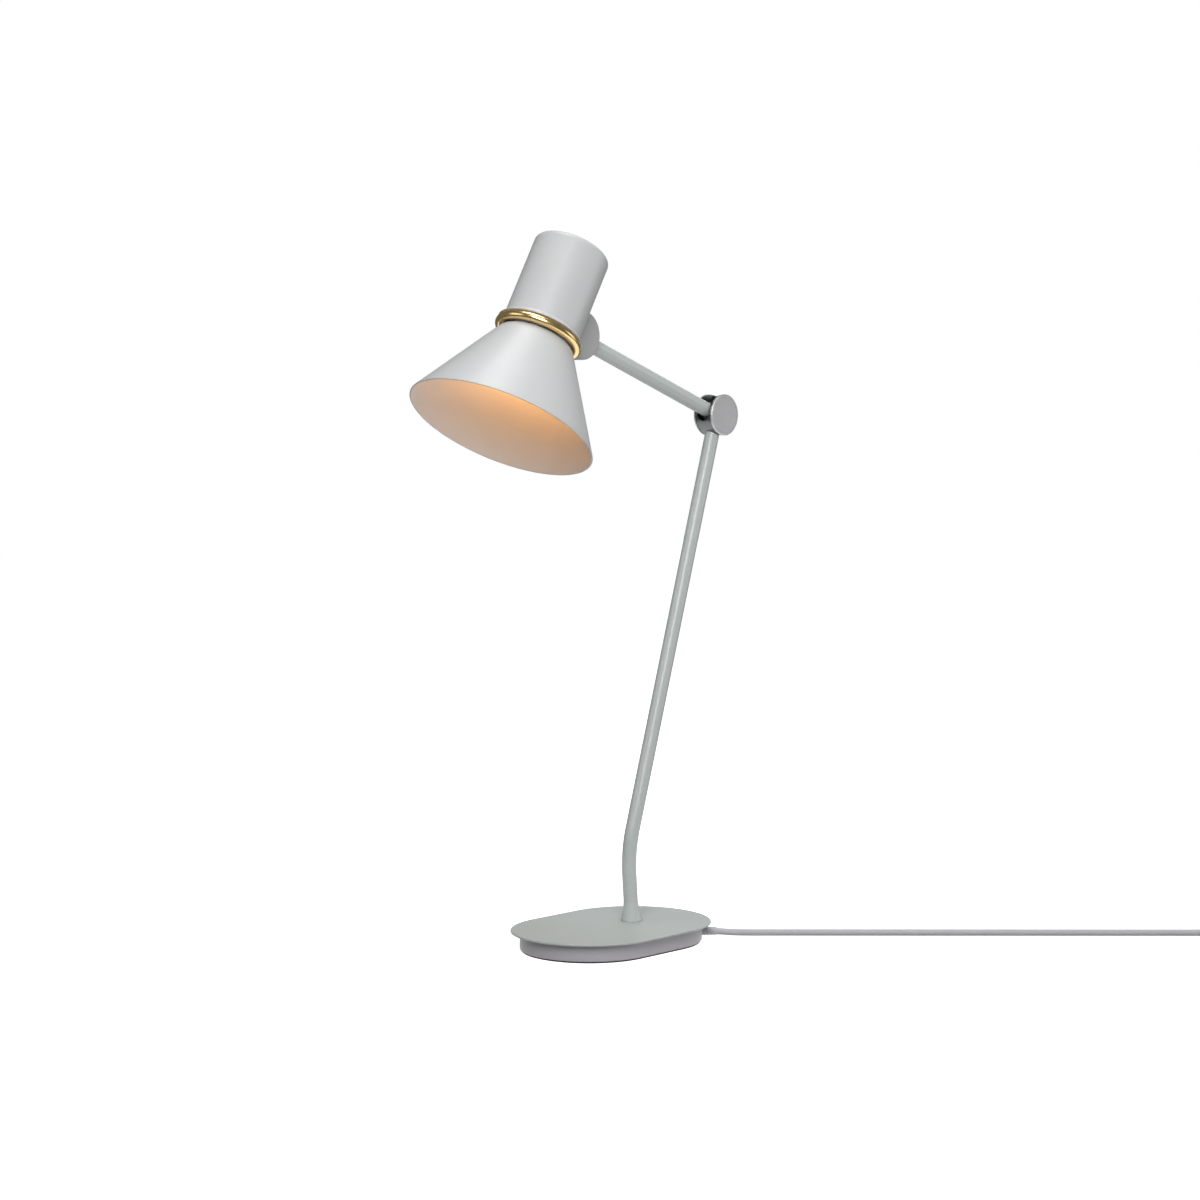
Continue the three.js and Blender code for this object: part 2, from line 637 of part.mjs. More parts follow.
// The cap, with a window behind for the arm's hub and the lead, and a hole for the switch.
function capShell() {
  const wall = (radius, edge, top) => {
    const points = [];
    for (let i = 0; i <= 4; i += 1) {
      const turn = Math.PI / 2 * i / 4;
      points.push([radius - edge + edge * Math.cos(turn), top - edge + edge * Math.sin(turn)]);
    }
    return points;
  };
  const inner = CAP_RADIUS - CAP_WALL;
  const hole = NECK_OF_SWITCH + GAP;
  const shell = turned([
    [CAP_RADIUS, CAP_FOOT],
    ...wall(CAP_RADIUS, CAP_EDGE, CAP_TOP),
    [hole, CAP_TOP],
    [hole, CAP_TOP - CAP_WALL],
    ...wall(inner, CAP_EDGE - CAP_WALL, CAP_TOP - CAP_WALL).reverse(),
    [inner, CAP_FOOT],
    [CAP_RADIUS, CAP_FOOT],
  ], FINE);
  const half = HEAD_HUB + 0.8;
  const window = box([20, -SLOT_HALF - GAP, PIVOT_HEIGHT - half], [50, SLOT_HALF + GAP, PIVOT_HEIGHT + half]);
  return cut(shell, window);
}

// Short drum behind the cap that holds the arm's hub: closed on the near side, bolted from the far.
function pivotHousing() {
  const edge = HOUSING_EDGE;
  const body = alongY(turned([
    [0, -HOUSING_HALF], [HOUSING_RADIUS - edge, -HOUSING_HALF], [HOUSING_RADIUS, -HOUSING_HALF + edge],
    [HOUSING_RADIUS, HOUSING_HALF - edge], [HOUSING_RADIUS - edge, HOUSING_HALF], [0, HOUSING_HALF],
  ], FINE));
  const hollow = alongY(rod(HOUSING_BORE, -SLOT_HALF, SLOT_HALF, FINE));
  const armAngle = HEAD_TILT - UPPER_RISE;
  const slot = swingSlot(armAngle - HEAD_DOWN, armAngle + HEAD_UP, 30);
  const pinHole = alongY(rod(PIN_RADIUS + GAP, -10.2, 20, COARSE));
  const headHole = alongY(rod(BOLT_HEAD + GAP, 9, 20, COARSE));
  const hollowed = cut(body, hollow, slot, pinHole, headHole).translate(PIVOT_OFFSET, 0, PIVOT_HEIGHT);
  const ring = RING_MIDDLE + RING_SECTION + GAP;
  const inFront = turned([
    [0, 0], [ring, 0], [ring, COLLAR_FOOT + 0.7], ...collarFace(0.5),
    [CAP_RADIUS + GAP, CAP_FOOT], [CAP_RADIUS + GAP, CAP_TOP], [0, CAP_TOP],
  ], FINE);
  return cut(hollowed, inFront);
}

// Socket-headed bolt, put in from the far side.
function headBolt() {
  const shank = alongY(rod(PIN_RADIUS, -9.9, 10, COARSE));
  const cap = alongY(rod(BOLT_HEAD, 9.3, 11.5, COARSE));
  const socket = alongY(rod(2.4, 10, 13, 6));
  return cut(join(shank, cap), socket).translate(PIVOT_OFFSET, 0, PIVOT_HEIGHT);
}

// Thin globe with an open neck that the screw base closes.
function bulbGlass() {
  const side = (inset) => {
    const radius = BULB_RADIUS - inset;
    const points = [[0, BULB_HEIGHT - radius]];
    const steps = 7;
    for (let i = 1; i <= steps; i += 1) {
      const turn = -Math.PI / 2 + radians(140) * i / steps;
      points.push([radius * Math.cos(turn), BULB_HEIGHT + radius * Math.sin(turn)]);
    }
    return [...points, [BULB_NECK + 3 - inset, BULB_FOOT - 14], [BULB_NECK - inset, BULB_FOOT]];
  };
  return turned([...side(0), ...side(BULB_WALL).reverse()], PLAIN);
}

function bulbBase() {
  const low = BULB_FOOT + GAP;
  const high = SCREW_BASE_TOP;
  return turned([
    [0, low], [13.2, low], [13.2, high - 7], [10, high - 3], [5, high - 1], [4.5, high], [0, high],
  ], COARSE);
}

function lampholder() {
  const bore = 14;
  return turned([
    [bore, BULB_FOOT + 1], [HOLDER_RADIUS, BULB_FOOT + 1], [HOLDER_RADIUS, HOLDER_TOP - 12],
    [HOLDER_RADIUS - 4, HOLDER_TOP], [5, HOLDER_TOP], [5, HOLDER_TOP + 7], [0, HOLDER_TOP + 7],
    [0, SCREW_BASE_TOP + 1], [bore, SCREW_BASE_TOP + 1], [bore, BULB_FOOT + 1],
  ], PLAIN);
}

function holderRing() {
  return sleeve(HOLDER_RADIUS + GAP, HOLDER_RADIUS + 4.5, BULB_FOOT + 2, BULB_FOOT + 7, PLAIN);
}

function holderBracket() {
  const low = HOLDER_TOP + GAP;
  const plate = rod(CAP_RADIUS - CAP_WALL - GAP, low, low + BRACKET_THICK, PLAIN);
  const middle = rod(5 + GAP, 0, CAP_TOP, COARSE);
  const leadHole = rod(4.5, 0, CAP_TOP, COARSE).translate(24.5, 0, 0);
  return cut(plate, middle, leadHole);
}

function holderNut() {
  const low = HOLDER_TOP + BRACKET_THICK + 2 * GAP;
  return cut(rod(8.5, low, low + 3.4, 6), rod(5 + GAP, 0, CAP_TOP, COARSE));
}

function switchBody() {
  const shoulder = CAP_TOP - CAP_WALL - GAP;
  const bore = BUTTON_RADIUS + GAP;
  const floor = SWITCH_FOOT + 9;
  return turned([
    [0, SWITCH_FOOT], [SWITCH_RADIUS, SWITCH_FOOT], [SWITCH_RADIUS, shoulder], [NECK_OF_SWITCH, shoulder],
    [NECK_OF_SWITCH, CAP_TOP + 1.6], [bore, CAP_TOP + 1.6], [bore, floor], [0, floor],
  ], COARSE);
}

function switchNut() {
  const inner = NECK_OF_SWITCH + GAP;
  return turned([
    [inner, CAP_TOP + GAP], [11.5, CAP_TOP + GAP], [11.5, CAP_TOP + 1], [10.9, CAP_TOP + 1.7],
    [inner, CAP_TOP + 1.7], [inner, CAP_TOP + GAP],
  ], PLAIN);
}

function switchButton() {
  const top = CAP_TOP + BUTTON_PROUD;
  return turned([
    [0, SWITCH_FOOT + 12], [BUTTON_RADIUS, SWITCH_FOOT + 12], [BUTTON_RADIUS, top - 0.8],
    [BUTTON_RADIUS - 0.8, top], [0, top],
  ], COARSE);
}

function headLead() {
  return swept(vectors([
    [31, 0, 135], [27.5, 0, 142.5], [25.2, 0, 150], [24.3, 0, 156.5], [21.5, 0, 161.2], [15.5, 0, 163.7],
    [10, 0, 164.7], [7.5, 0, 167.1], [7.5, 0, SWITCH_FOOT - GAP],
  ]), LEAD_RADIUS, LEAD_SIDES);
}

function holderLead() {
  return rod(LEAD_RADIUS, HOLDER_TOP + 7 + GAP, SWITCH_FOOT - GAP, LEAD_SIDES);
}

// ------------------------------------------------------------------ mains cord
function mainsCord() {
  const route = new THREE.CatmullRomCurve3(vectors(CORD_ROUTE));
  return swept(route.getSpacedPoints(CORD_STEPS), CORD_RADIUS, CORD_SIDES);
}

function mainsCoil() {
  return sleeve(COIL_MIDDLE - COIL_HALF_WIDTH, COIL_MIDDLE + COIL_HALF_WIDTH, 0, COIL_HEIGHT, PLAIN)
    .translate(...COIL_CENTRE, 0);
}

function mainsTail() {
  return swept(vectors(TAIL_ROUTE), CORD_RADIUS, CORD_SIDES);
}

// Flat two-pin plug, narrow at the cord and wide at the pins, along its local +X.
function plugBody() {
  const half = PLUG_HALF_HEIGHT;
  const outline = new THREE.Shape();
  outline.moveTo(0, -5);
  outline.bezierCurveTo(12, -6.5, 16, -11, PLUG_LENGTH, -17.5);
  outline.lineTo(PLUG_LENGTH, 17.5);
  outline.bezierCurveTo(16, 11, 12, 6.5, 0, 5);
  outline.closePath();
  return new THREE.ExtrudeGeometry(outline, {
    depth: 2 * half - 3,
    curveSegments: 8,
    bevelEnabled: true,
    bevelThickness: 1.5,
    bevelSize: 1.2,
    bevelOffset: -1.2,
    bevelSegments: 2,
  }).translate(0, 0, -half + 1.5);
}

function plugPin(side) {
  return turned([
    [0, 0], [2, 0], [2, PIN_LENGTH - 1], [1.2, PIN_LENGTH], [0, PIN_LENGTH],
  ], 12).rotateY(Math.PI / 2).translate(PLUG_LENGTH + GAP, side * PIN_SPACING / 2, 0);
}

// ------------------------------------------------------------------ assembly
const sides = [["near", -1], ["far", 1]];

const base = group([
  mesh("base_plate", basePlate(), paint),
  mesh("base_skirt", baseSkirt(), skirtGrey),
  mesh("ballast", ballast(), iron),
  mesh("base_cover", baseCover(), zinc),
  mesh("foot_pad", footPad(), blackRubber),
  ...SCREW_PLACES.map((place, i) => mesh(`base_screw_${i + 1}`, baseScrew(place), zinc)),
  mesh("swivel_bush", swivelBush(), nylon),
  mesh("strain_relief", strainRelief(), greyPlastic),
  mesh("base_lead", baseLead(), whitePlastic),
]);

const lowerArm = group([
  mesh("lower_tube", lowerTube(), paint),
  mesh("foot_ferrule", footFerrule(), paint),
  mesh("swivel_stud", swivelStud(), zinc),
  mesh("swivel_washer", swivelWasher(), nylon),
  mesh("swivel_nut", swivelNut(), zinc),
  mesh("lower_lead", swept(
    [new THREE.Vector3(FOOT_X, 0, 4), ...lowerStations(0, 15.5)], LEAD_RADIUS, LEAD_SIDES), whitePlastic),
]);

const elbowPieces = group([
  mesh("elbow_drum", elbowDrum(), satinSteel),
  mesh("elbow_bolt", elbowBolt(), satinAluminium),
  mesh("elbow_nut", elbowNut(), satinAluminium),
], elbow.toArray());

const upperArm = group([
  mesh("elbow_knuckle", knuckle(ELBOW_HUB), zinc),
  mesh("upper_tube", upperTube(), paint),
  mesh("upper_lead", upperLead(), whitePlastic),
  ...sides.map(([name, side]) => mesh(`elbow_washer_${name}`, frictionWasher(ELBOW_HUB, side), nylon)),
], elbow.toArray(), UPPER_RISE);

const headEnd = group([
  mesh("head_knuckle", knuckle(HEAD_HUB).rotateX(Math.PI), zinc),
  ...sides.map(([name, side]) => mesh(`head_washer_${name}`, frictionWasher(HEAD_HUB, side), nylon)),
], headPivot.toArray(), UPPER_RISE + 180);

const head = group([
  mesh("shade", shade(), paint),
  mesh("shade_ring", shadeRing(), zinc),
  mesh("neck_sleeve", neckSleeve(), satinAluminium),
  mesh("gold_ring", goldRing(), gold),
  mesh("cap_collar", capCollar(), paint),
  mesh("cap_shell", capShell(), paint),
  mesh("pivot_housing", pivotHousing(), paint),
  mesh("head_bolt", headBolt(), zinc),
  mesh("lampholder", lampholder(), whitePlastic),
  mesh("lampholder_ring", holderRing(), whitePlastic),
  mesh("lampholder_bracket", holderBracket(), zinc),
  mesh("lampholder_nut", holderNut(), zinc),
  mesh("lampholder_lead", holderLead(), whitePlastic),
  mesh("bulb_glass", bulbGlass(), opalGlass),
  mesh("bulb_base", bulbBase(), nickel),
  mesh("switch_body", switchBody(), greyPlastic),
  mesh("switch_nut", switchNut(), nickel),
  mesh("switch_button", switchButton(), paint),
  mesh("head_lead", headLead(), whitePlastic),
], rimCentre.toArray(), HEAD_TILT);

const cord = group([
  mesh("mains_cord", mainsCord(), braid),
  mesh("mains_coil", mainsCoil(), braid),
  mesh("mains_tail", mainsTail(), braid),
]);

const tailEnd = new THREE.Vector3(...TAIL_ROUTE.at(-1));
const plug = group([
  mesh("plug_body", plugBody(), greyPlastic),
  mesh("plug_pin_1", plugPin(-1), nickel),
  mesh("plug_pin_2", plugPin(1), nickel),
]);
const plugHeading = radians(PLUG_HEADING);
plug.position.set(
  tailEnd.x + GAP * Math.cos(plugHeading), tailEnd.y + GAP * Math.sin(plugHeading), PLUG_HALF_HEIGHT + 0.1);
plug.rotation.z = plugHeading;

const lamp = new THREE.Group();
lamp.add(base, lowerArm, elbowPieces, upperArm, headEnd, head, cord, plug);

export default lamp;
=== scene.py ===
"""Architect desk lamp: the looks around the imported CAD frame.

Sizes are millimetres, as in the CAD, and become metres where a mesh is made. The origin is the
middle of the base's underside, +Z is up, and both arms lie in the XZ plane.
"""
import math

import bmesh
import bpy
from mathutils import Matrix, Vector


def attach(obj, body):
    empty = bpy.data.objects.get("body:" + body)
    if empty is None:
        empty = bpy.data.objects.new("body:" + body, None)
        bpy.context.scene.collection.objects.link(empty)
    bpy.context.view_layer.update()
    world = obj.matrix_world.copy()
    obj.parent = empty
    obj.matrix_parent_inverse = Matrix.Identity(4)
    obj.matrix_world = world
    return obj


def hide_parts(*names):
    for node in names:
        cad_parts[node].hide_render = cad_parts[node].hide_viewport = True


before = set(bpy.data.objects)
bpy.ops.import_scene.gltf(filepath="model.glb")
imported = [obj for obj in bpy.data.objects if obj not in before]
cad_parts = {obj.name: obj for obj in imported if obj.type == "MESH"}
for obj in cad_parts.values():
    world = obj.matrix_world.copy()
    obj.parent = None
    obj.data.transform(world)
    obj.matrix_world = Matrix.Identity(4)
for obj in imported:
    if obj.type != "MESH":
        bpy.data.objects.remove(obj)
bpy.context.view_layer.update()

# -------- driving dimensions, millimetres
MM = 0.001
GAP = 0.3  # clearance between pieces that touch or fit together

BASE_LENGTH = 210  # top plate, over its round ends
BASE_WIDTH = 149
BASE_TOP = 19.5    # upper face of the plate above the table
PLATE_THICK = 2
OVERHANG = 8.7     # plate edge to skirt
SKIRT_WALL = 2.5
PAD_THICK = 1.2
PAD_INSET = 1.5    # skirt to pad

FOOT_X = 28.5    # swivel axis of the lower arm
STUD_RADIUS = 5
STUD_ROOM = 11   # hollow for the stud above the plate
BUSH_HOLE = 7.3  # radius of the hole in the plate
FERRULE_HEIGHT = 20
FERRULE_RADIUS = 10.6

TUBE_RADIUS = 7     # both arms
TUBE_BORE = 6
SPIGOT_RADIUS = TUBE_BORE - GAP
SPIGOT_LENGTH = 17
LEAD_HOLE = 3       # radius of the way through the spigots
FOOT_LEAN = 4.5     # degrees towards the head, below the bend
BEND_RISE = 67      # plate to the corner of the bend
BEND_RADIUS = 120
LOWER_BACK = 17     # degrees away from the head, above the bend
LOWER_LENGTH = 434  # corner of the bend to the elbow axis
UPPER_RISE = 20     # degrees above the horizontal
UPPER_LENGTH = 214  # elbow axis to head axis

DRUM_RADIUS = 19.7
DRUM_HALF = 9.5  # half the drum's length along the pin
DRUM_BORE = 17.6
SLOT_HALF = 7.4  # half the slot that an arm swings in
DISC_RADIUS = 20
DISC_FACE = 12   # outer face of an elbow disc from the middle plane
DISC_BEVEL = 0.8
PIN_RADIUS = 4
NUT_BOSS = 6
ELBOW_DOWN = 15  # degrees of travel below the rest pose
ELBOW_UP = 75

HEAD_TILT = 30       # head axis from the vertical at rest
HEAD_DOWN = 40       # degrees of travel towards the arm
HEAD_UP = 60
HEAD_HUB = 11        # radius of the arm's end in the head
PIVOT_HEIGHT = 121   # pivot above the rim, along the head axis
PIVOT_OFFSET = 40.5  # pivot behind the head axis
HOUSING_RADIUS = 22.5
HOUSING_HALF = 11.8
HOUSING_BORE = 19
BOLT_HEAD = 5.3

SHADE_RIM = 88      # rim radius; heights in the head are above the rim
SHADE_ANGLE = 30    # half angle of the cone
SHADE_TOP = 91.5
SHADE_SHOULDER = 6  # radius of the rounded shoulder
SHADE_WALL = 1.5
NECK_RADIUS = 30
NECK_BORE = 27
RING_HEIGHT = 96    # middle of the gold ring
RING_MIDDLE = 37.4
RING_SECTION = 4
COLLAR_FOOT = 100.4
COLLAR_LIP = 40.6   # widest radius of the collar
COLLAR_TOP = 36.5
CAP_FOOT = 106
CAP_TOP = 188
CAP_RADIUS = 36
CAP_WALL = 1.5
CAP_EDGE = 5

BULB_HEIGHT = 68   # centre of the bulb's globe
BULB_RADIUS = 30
BULB_NECK = 13
BULB_FOOT = 118.5  # where the glass meets the screw base
HOLDER_RADIUS = 20
HOLDER_TOP = 155
SCREW_BASE_TOP = 145

SWITCH_FOOT = 170
SWITCH_NECK = 8.2
BUTTON_RADIUS = 6
BUTTON_PROUD = 4.5  # above the cap

CORD_DIAMETER = 6.5
CORD_EXIT = (0.088, -0.032, 0.005)  # metres, middle of the outlet in the skirt
CORD_HEADING = -45  # degrees about +Z, from +X
CORD_LIE = 3.3      # centre line of a stretch that lies on the table
RELIEF_LENGTH = 19  # strain relief outside the skirt
RELIEF_INSIDE = 9
RELIEF_RADIUS = 4.4

SMOOTH = 128  # segments round a large circle
FINE = 64     # round a small one
TUBE_SIDES = 40
SHARP = 35    # degrees between faces past which their edge shows


# -------- places
def turn(degrees, axis):
    return Matrix.Rotation(math.radians(degrees), 4, axis)


def move(x, y, z):
    return Matrix.Translation(Vector((x, y, z)) * MM)


def direction(degrees_from_up):
    """Unit vector in the XZ plane, leaning from +Z towards +X."""
    angle = math.radians(degrees_from_up)
    return Vector((math.sin(angle), 0, math.cos(angle)))


WORLD = Matrix.Identity(4)
TO_Y = turn(-90, "X")  # local Z becomes +Y

foot = Vector((FOOT_X, 0, BASE_TOP))
foot_direction = direction(-FOOT_LEAN)
back_direction = direction(LOWER_BACK)
corner = foot + foot_direction * (BEND_RISE / foot_direction.z)
elbow = corner + back_direction * LOWER_LENGTH
head_pivot = elbow + direction(UPPER_RISE - 90) * UPPER_LENGTH
head_axis = direction(HEAD_TILT)
head_back = direction(HEAD_TILT + 90)
rim_centre = head_pivot - head_axis * PIVOT_HEIGHT - head_back * PIVOT_OFFSET

ELBOW = move(*elbow)
UPPER = ELBOW @ turn(UPPER_RISE, "Y")
HEAD = move(*rim_centre) @ turn(HEAD_TILT, "Y")
PIVOT = HEAD @ move(PIVOT_OFFSET, 0, PIVOT_HEIGHT)
OUTLET = Matrix.Translation(CORD_EXIT) @ turn(CORD_HEADING, "Z") @ turn(90, "Y")


# -------- mesh helpers
def rounded(corners, closed=False, steps=5):
    """An outline with its corners filleted. A corner is (x, y) or (x, y, fillet).

    A fillet has a short flat run on each side of it, which keeps the flats evenly shaded.
    """
    most = 0.45  # share of a side that one fillet may take
    points = [Vector(c[:2]) for c in corners]
    fillets = [c[2] if len(c) > 2 else 0 for c in corners]
    count = len(points)
    outline = []
    for i in range(count):
        at_end = not closed and i in (0, count - 1)
        if at_end or fillets[i] == 0:
            outline.append(points[i])
            continue
        before = points[i - 1] - points[i]
        after = points[(i + 1) % count] - points[i]
        half = before.angle(after) / 2
        reach = min(fillets[i] / math.tan(half), most * before.length, most * after.length)
        radius = reach * math.tan(half)
        before.normalize()
        after.normalize()
        centre = points[i] + (before + after).normalized() * (radius / math.sin(half))
        hold = 0.3 * reach
        arms = [points[i] + before * reach - centre, points[i] + after * reach - centre]
        outline.append(points[i] + before * (reach + hold))
        for k in range(steps + 1):
            outline.append(centre + arms[0].slerp(arms[1], k / steps) * radius)
        outline.append(points[i] + after * (reach + hold))
    if closed:
        outline.append(outline[0])
    return [(p.x, p.y) for p in outline]


def add_object(name, data):
    item = bpy.data.objects.new(name, data)
    bpy.context.scene.collection.objects.link(item)
    return item


def make_piece(name, vertices, faces, place=WORLD, sharp=SHARP, along=None):
    """A mesh object from millimetre vertices. along gives each vertex its (u, v)."""
    mesh = bpy.data.meshes.new(name)
    mesh.from_pydata([Vector(v) * MM for v in vertices], [], faces)
    if along:
        layer = mesh.uv_layers.new(name="along")
        for loop in mesh.loops:
            layer.data[loop.index].uv = along[loop.vertex_index]
    piece = add_object(name, mesh)
    piece.matrix_world = place
    settle(piece, sharp)
    return piece


def settle(piece, sharp=SHARP):
    """Doubled points joined, faces outward, smooth, with sharp edges past an angle."""
    work = bmesh.new()
    work.from_mesh(piece.data)
    bmesh.ops.remove_doubles(work, verts=work.verts, dist=0.01 * MM)
    bmesh.ops.dissolve_degenerate(work, edges=work.edges, dist=0.005 * MM)
    bmesh.ops.recalc_face_normals(work, faces=work.faces)
    work.to_mesh(piece.data)
    work.free()
    piece.data.shade_smooth()
    piece.data.set_sharp_from_angle(angle=math.radians(sharp))


def ring(start, count):
    """The vertex numbers of one ring."""
    return list(range(start, start + count))


def band(first, second):
    """The quads between two rings."""
    return list(zip(first, first[1:] + first[:1], second[1:] + second[:1], second))


def rib_depth(ribs, radius, height, angle):
    """How far a rim's grooves cut in. Ribs are (count, depth, least radius, low, high)."""
    count, depth, least, low, high = ribs
    if radius < least or not low <= height <= high:
        return 0
    return depth * (0.5 + 0.5 * math.cos(count * angle)) ** 2


def turned(name, outline, place=WORLD, segments=SMOOTH, reach=0, ribs=None, sharp=SHARP):
    """An outline of (radius, height) turned about local Z.

    It ends on the axis, is capped flat, or closes on itself. A reach pulls the circle into a
    stadium along X.
    """
    closed = outline[0] == outline[-1]
    if closed:
        outline = outline[:-1]
    vertices = []
    rings = []
    for radius, height in outline:
        if radius < 1e-6 and reach == 0:
            rings.append([len(vertices)] * segments)
            vertices.append((0, 0, height))
            continue
        rings.append(ring(len(vertices), segments))
        for k in range(segments):
            angle = 2 * math.pi * (k + 0.5) / segments
            size = radius - (rib_depth(ribs, radius, height, angle) if ribs else 0)
            shift = math.copysign(reach, math.cos(angle))
            vertices.append((size * math.cos(angle) + shift, size * math.sin(angle), height))
    faces = []
    following = rings[1:] + rings[:1] if closed else rings[1:]
    for low, high in zip(rings, following):
        for quad in band(low, high):
            corners = list(dict.fromkeys(quad))
            if len(corners) > 2:
                faces.append(corners)
    if not closed:
        faces += [end for end in (rings[0], rings[-1]) if end[0] != end[1]]
    return make_piece(name, vertices, faces, place, sharp)


def cylinder(name, radius, low, high, place, segments=FINE):
    """A closed cylinder along local Z."""
    return turned(name, [(0, low), (radius, low), (radius, high), (0, high)], place, segments)


def directions(path):
    """The unit direction at each point of a path."""
    runs = [(b - a).normalized() for a, b in zip(path, path[1:])]
    inner = [(a + b).normalized() for a, b in zip(runs, runs[1:])]
    return [runs[0], *inner, runs[-1]]


def tube(name, path, radius, sides=TUBE_SIDES, bore=None, saddle=None):
    """A round tube along millimetre points. With a bore it is open, else its ends are closed.

    A saddle is (centre, radius): the last ring is moved onto that cylinder about Y.
    """
    path = [Vector(p) for p in path]
    tangents = directions(path)
    across = tangents[0].orthogonal().normalized()
    vertices = []
    along = []
    travelled = 0
    radii = [radius] if bore is None else [radius, bore]
    for i, (point, tangent) in enumerate(zip(path, tangents)):
        across = (across - tangent * across.dot(tangent)).normalized()
        up = tangent.cross(across)
        travelled += (point - path[i - 1]).length if i else 0
        for size in radii:
            for k in range(sides):
                angle = 2 * math.pi * k / sides
                offset = across * math.cos(angle) + up * math.sin(angle)
                spot = point + offset * size
                if saddle and i == len(path) - 1:
                    spot = onto_saddle(spot, tangent, *saddle)
                vertices.append(spot)
                along.append((k / sides, travelled * MM))
    stride = sides * len(radii)
    last = (len(path) - 1) * stride
    faces = []
    for start in range(0, last, sides):
        faces += band(ring(start, sides), ring(start + stride, sides))
    for start in (0, last):
        if bore is None:
            faces.append(ring(start, sides))
        else:
            faces += band(ring(start, sides), ring(start + sides, sides))
    return make_piece(name, vertices, faces, along=along)


def onto_saddle(spot, tangent, centre, radius):
    """Moves a point along the tangent until it lies on the cylinder about Y at centre."""
    lateral = Vector((tangent.z, 0, -tangent.x))
    offset = spot - centre
    aside = offset.dot(lateral)
    height = -math.sqrt(radius ** 2 - aside ** 2)
    return spot + tangent * (height - offset.dot(tangent))


def prism(name, outline, low, high, place=WORLD):
    """An outline of (x, y) raised along local Z."""
    count = len(outline)
    vertices = [(x, y, z) for z in (low, high) for x, y in outline]
    ends = [ring(0, count), ring(count, count)]
    return make_piece(name, vertices, ends + band(*ends), place)


def bake(piece):
    """Applies the piece's modifiers to its mesh."""
    shown = piece.evaluated_get(bpy.context.evaluated_depsgraph_get())
    mesh = bpy.data.meshes.new_from_object(shown)
    piece.modifiers.clear()
    piece.data = mesh
    settle(piece)


def carve(piece, tools, operation="DIFFERENCE"):
    """Cuts pieces away, or joins them on, and removes them."""
    bpy.context.view_layer.update()
    for tool in tools:
        modifier = piece.modifiers.new("carve", "BOOLEAN")
        modifier.operation = operation
        modifier.solver = "EXACT"
        modifier.object = tool
    bake(piece)
    for tool in tools:
        bpy.data.objects.remove(tool)


def soften(piece, width):
    """A small bevel on every edge that turns by more than 40 degrees."""
    modifier = piece.modifiers.new("soften", "BEVEL")
    modifier.width = width * MM
    modifier.segments = 2
    modifier.limit_method = "ANGLE"
    modifier.angle_limit = math.radians(40)
    bake(piece)


def swing_slot(from_angle, to_angle, reach, place):
    """The space an arm swings through, about local Y: a wedge with round ends, as tools."""
    steps = 24
    outline = [(0, 0)]
    for k in range(steps + 1):
        angle = math.radians(from_angle + (to_angle - from_angle) * k / steps)
        outline.append((reach * math.cos(angle), reach * math.sin(angle)))
    tools = [prism("slot", outline, -SLOT_HALF, SLOT_HALF, place @ turn(90, "X"))]
    for angle in (from_angle, to_angle):
        tools.append(cylinder("slot_end", SLOT_HALF, 0, reach, place @ turn(90 - angle, "Y")))
    return tools


def put(piece, body, slot, material, *nodes):
    """Rides the piece on its body, gives it its material, and stands it for CAD nodes."""
    if not piece.data.materials:
        piece.data.materials.append(material)
    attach(piece, body)
    if nodes:
        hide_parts(*nodes)
    return piece


# -------- camera
# The picture's own camera, fitted to the lamp's outlines.
CAMERA_PLACE = (-1.84795, -1.70740, 0.50693)  # metres
CAMERA_FORWARD = (0.72969, 0.68009, -0.07089)
FOCAL_SHARE = 2.23467  # focal length over the sensor's width


def add_camera():
    data = bpy.data.cameras.new("camera")
    camera = add_object("camera", data)
    camera.location = CAMERA_PLACE
    camera.rotation_euler = Vector(CAMERA_FORWARD).to_track_quat("-Z", "Y").to_euler()
    data.sensor_fit = "HORIZONTAL"
    data.sensor_width = 36
    data.lens = FOCAL_SHARE * data.sensor_width
    data.clip_end = 20
    bpy.context.scene.camera = camera


add_camera()


# -------- materials
def set_inputs(node, values):
    for name, value in values.items():
        node.inputs[name].default_value = value


def new_material(name, colour, roughness, metallic=0.0):
    """A principled material. Returns (material, nodes, link, shader)."""
    material = bpy.data.materials.new(name)
    material.use_nodes = True
    tree = material.node_tree
    shader = tree.nodes["Principled BSDF"]
    set_inputs(shader, {"Base Color": (*colour, 1), "Roughness": roughness, "Metallic": metallic})
    return material, tree.nodes, tree.links.new, shader


def noise(nodes, link, scale, detail):
    """Noise over the object's own coordinates, in metres."""
    place = nodes.new("ShaderNodeTexCoord")
    texture = nodes.new("ShaderNodeTexNoise")
    set_inputs(texture, {"Scale": scale, "Detail": detail})
    link(place.outputs["Object"], texture.inputs["Vector"])
    return texture.outputs["Fac"]


def spread(nodes, link, value, low, high, start=0, end=1):
    """Maps a value from start..end onto low..high."""
    node = nodes.new("ShaderNodeMapRange")
    set_inputs(node, {"From Min": start, "From Max": end, "To Min": low, "To Max": high})
    link(value, node.inputs["Value"])
    return node.outputs["Result"]


def tint(nodes, link, value, first, second):
    """Mixes two colours by a value."""
    node = nodes.new("ShaderNodeMix")
    node.data_type = "RGBA"
    set_inputs(node, {"A": (*first, 1), "B": (*second, 1)})
    link(value, node.inputs["Factor"])
    return node.outputs["Result"]


def bump(nodes, link, height, shader, depth):
    """Relief from a 0..1 height, its depth in millimetres."""
    node = nodes.new("ShaderNodeBump")
    node.inputs["Distance"].default_value = depth * MM
    link(height, node.inputs["Height"])
    link(node.outputs["Normal"], shader.inputs["Normal"])


def vary(nodes, link, value, shader, colour, low, high):
    """Colours the shader by a value, from a low share of the colour to a high one."""
    dark, light = [tuple(channel * share for channel in colour) for share in (low, high)]
    link(tint(nodes, link, value, dark, light), shader.inputs["Base Color"])


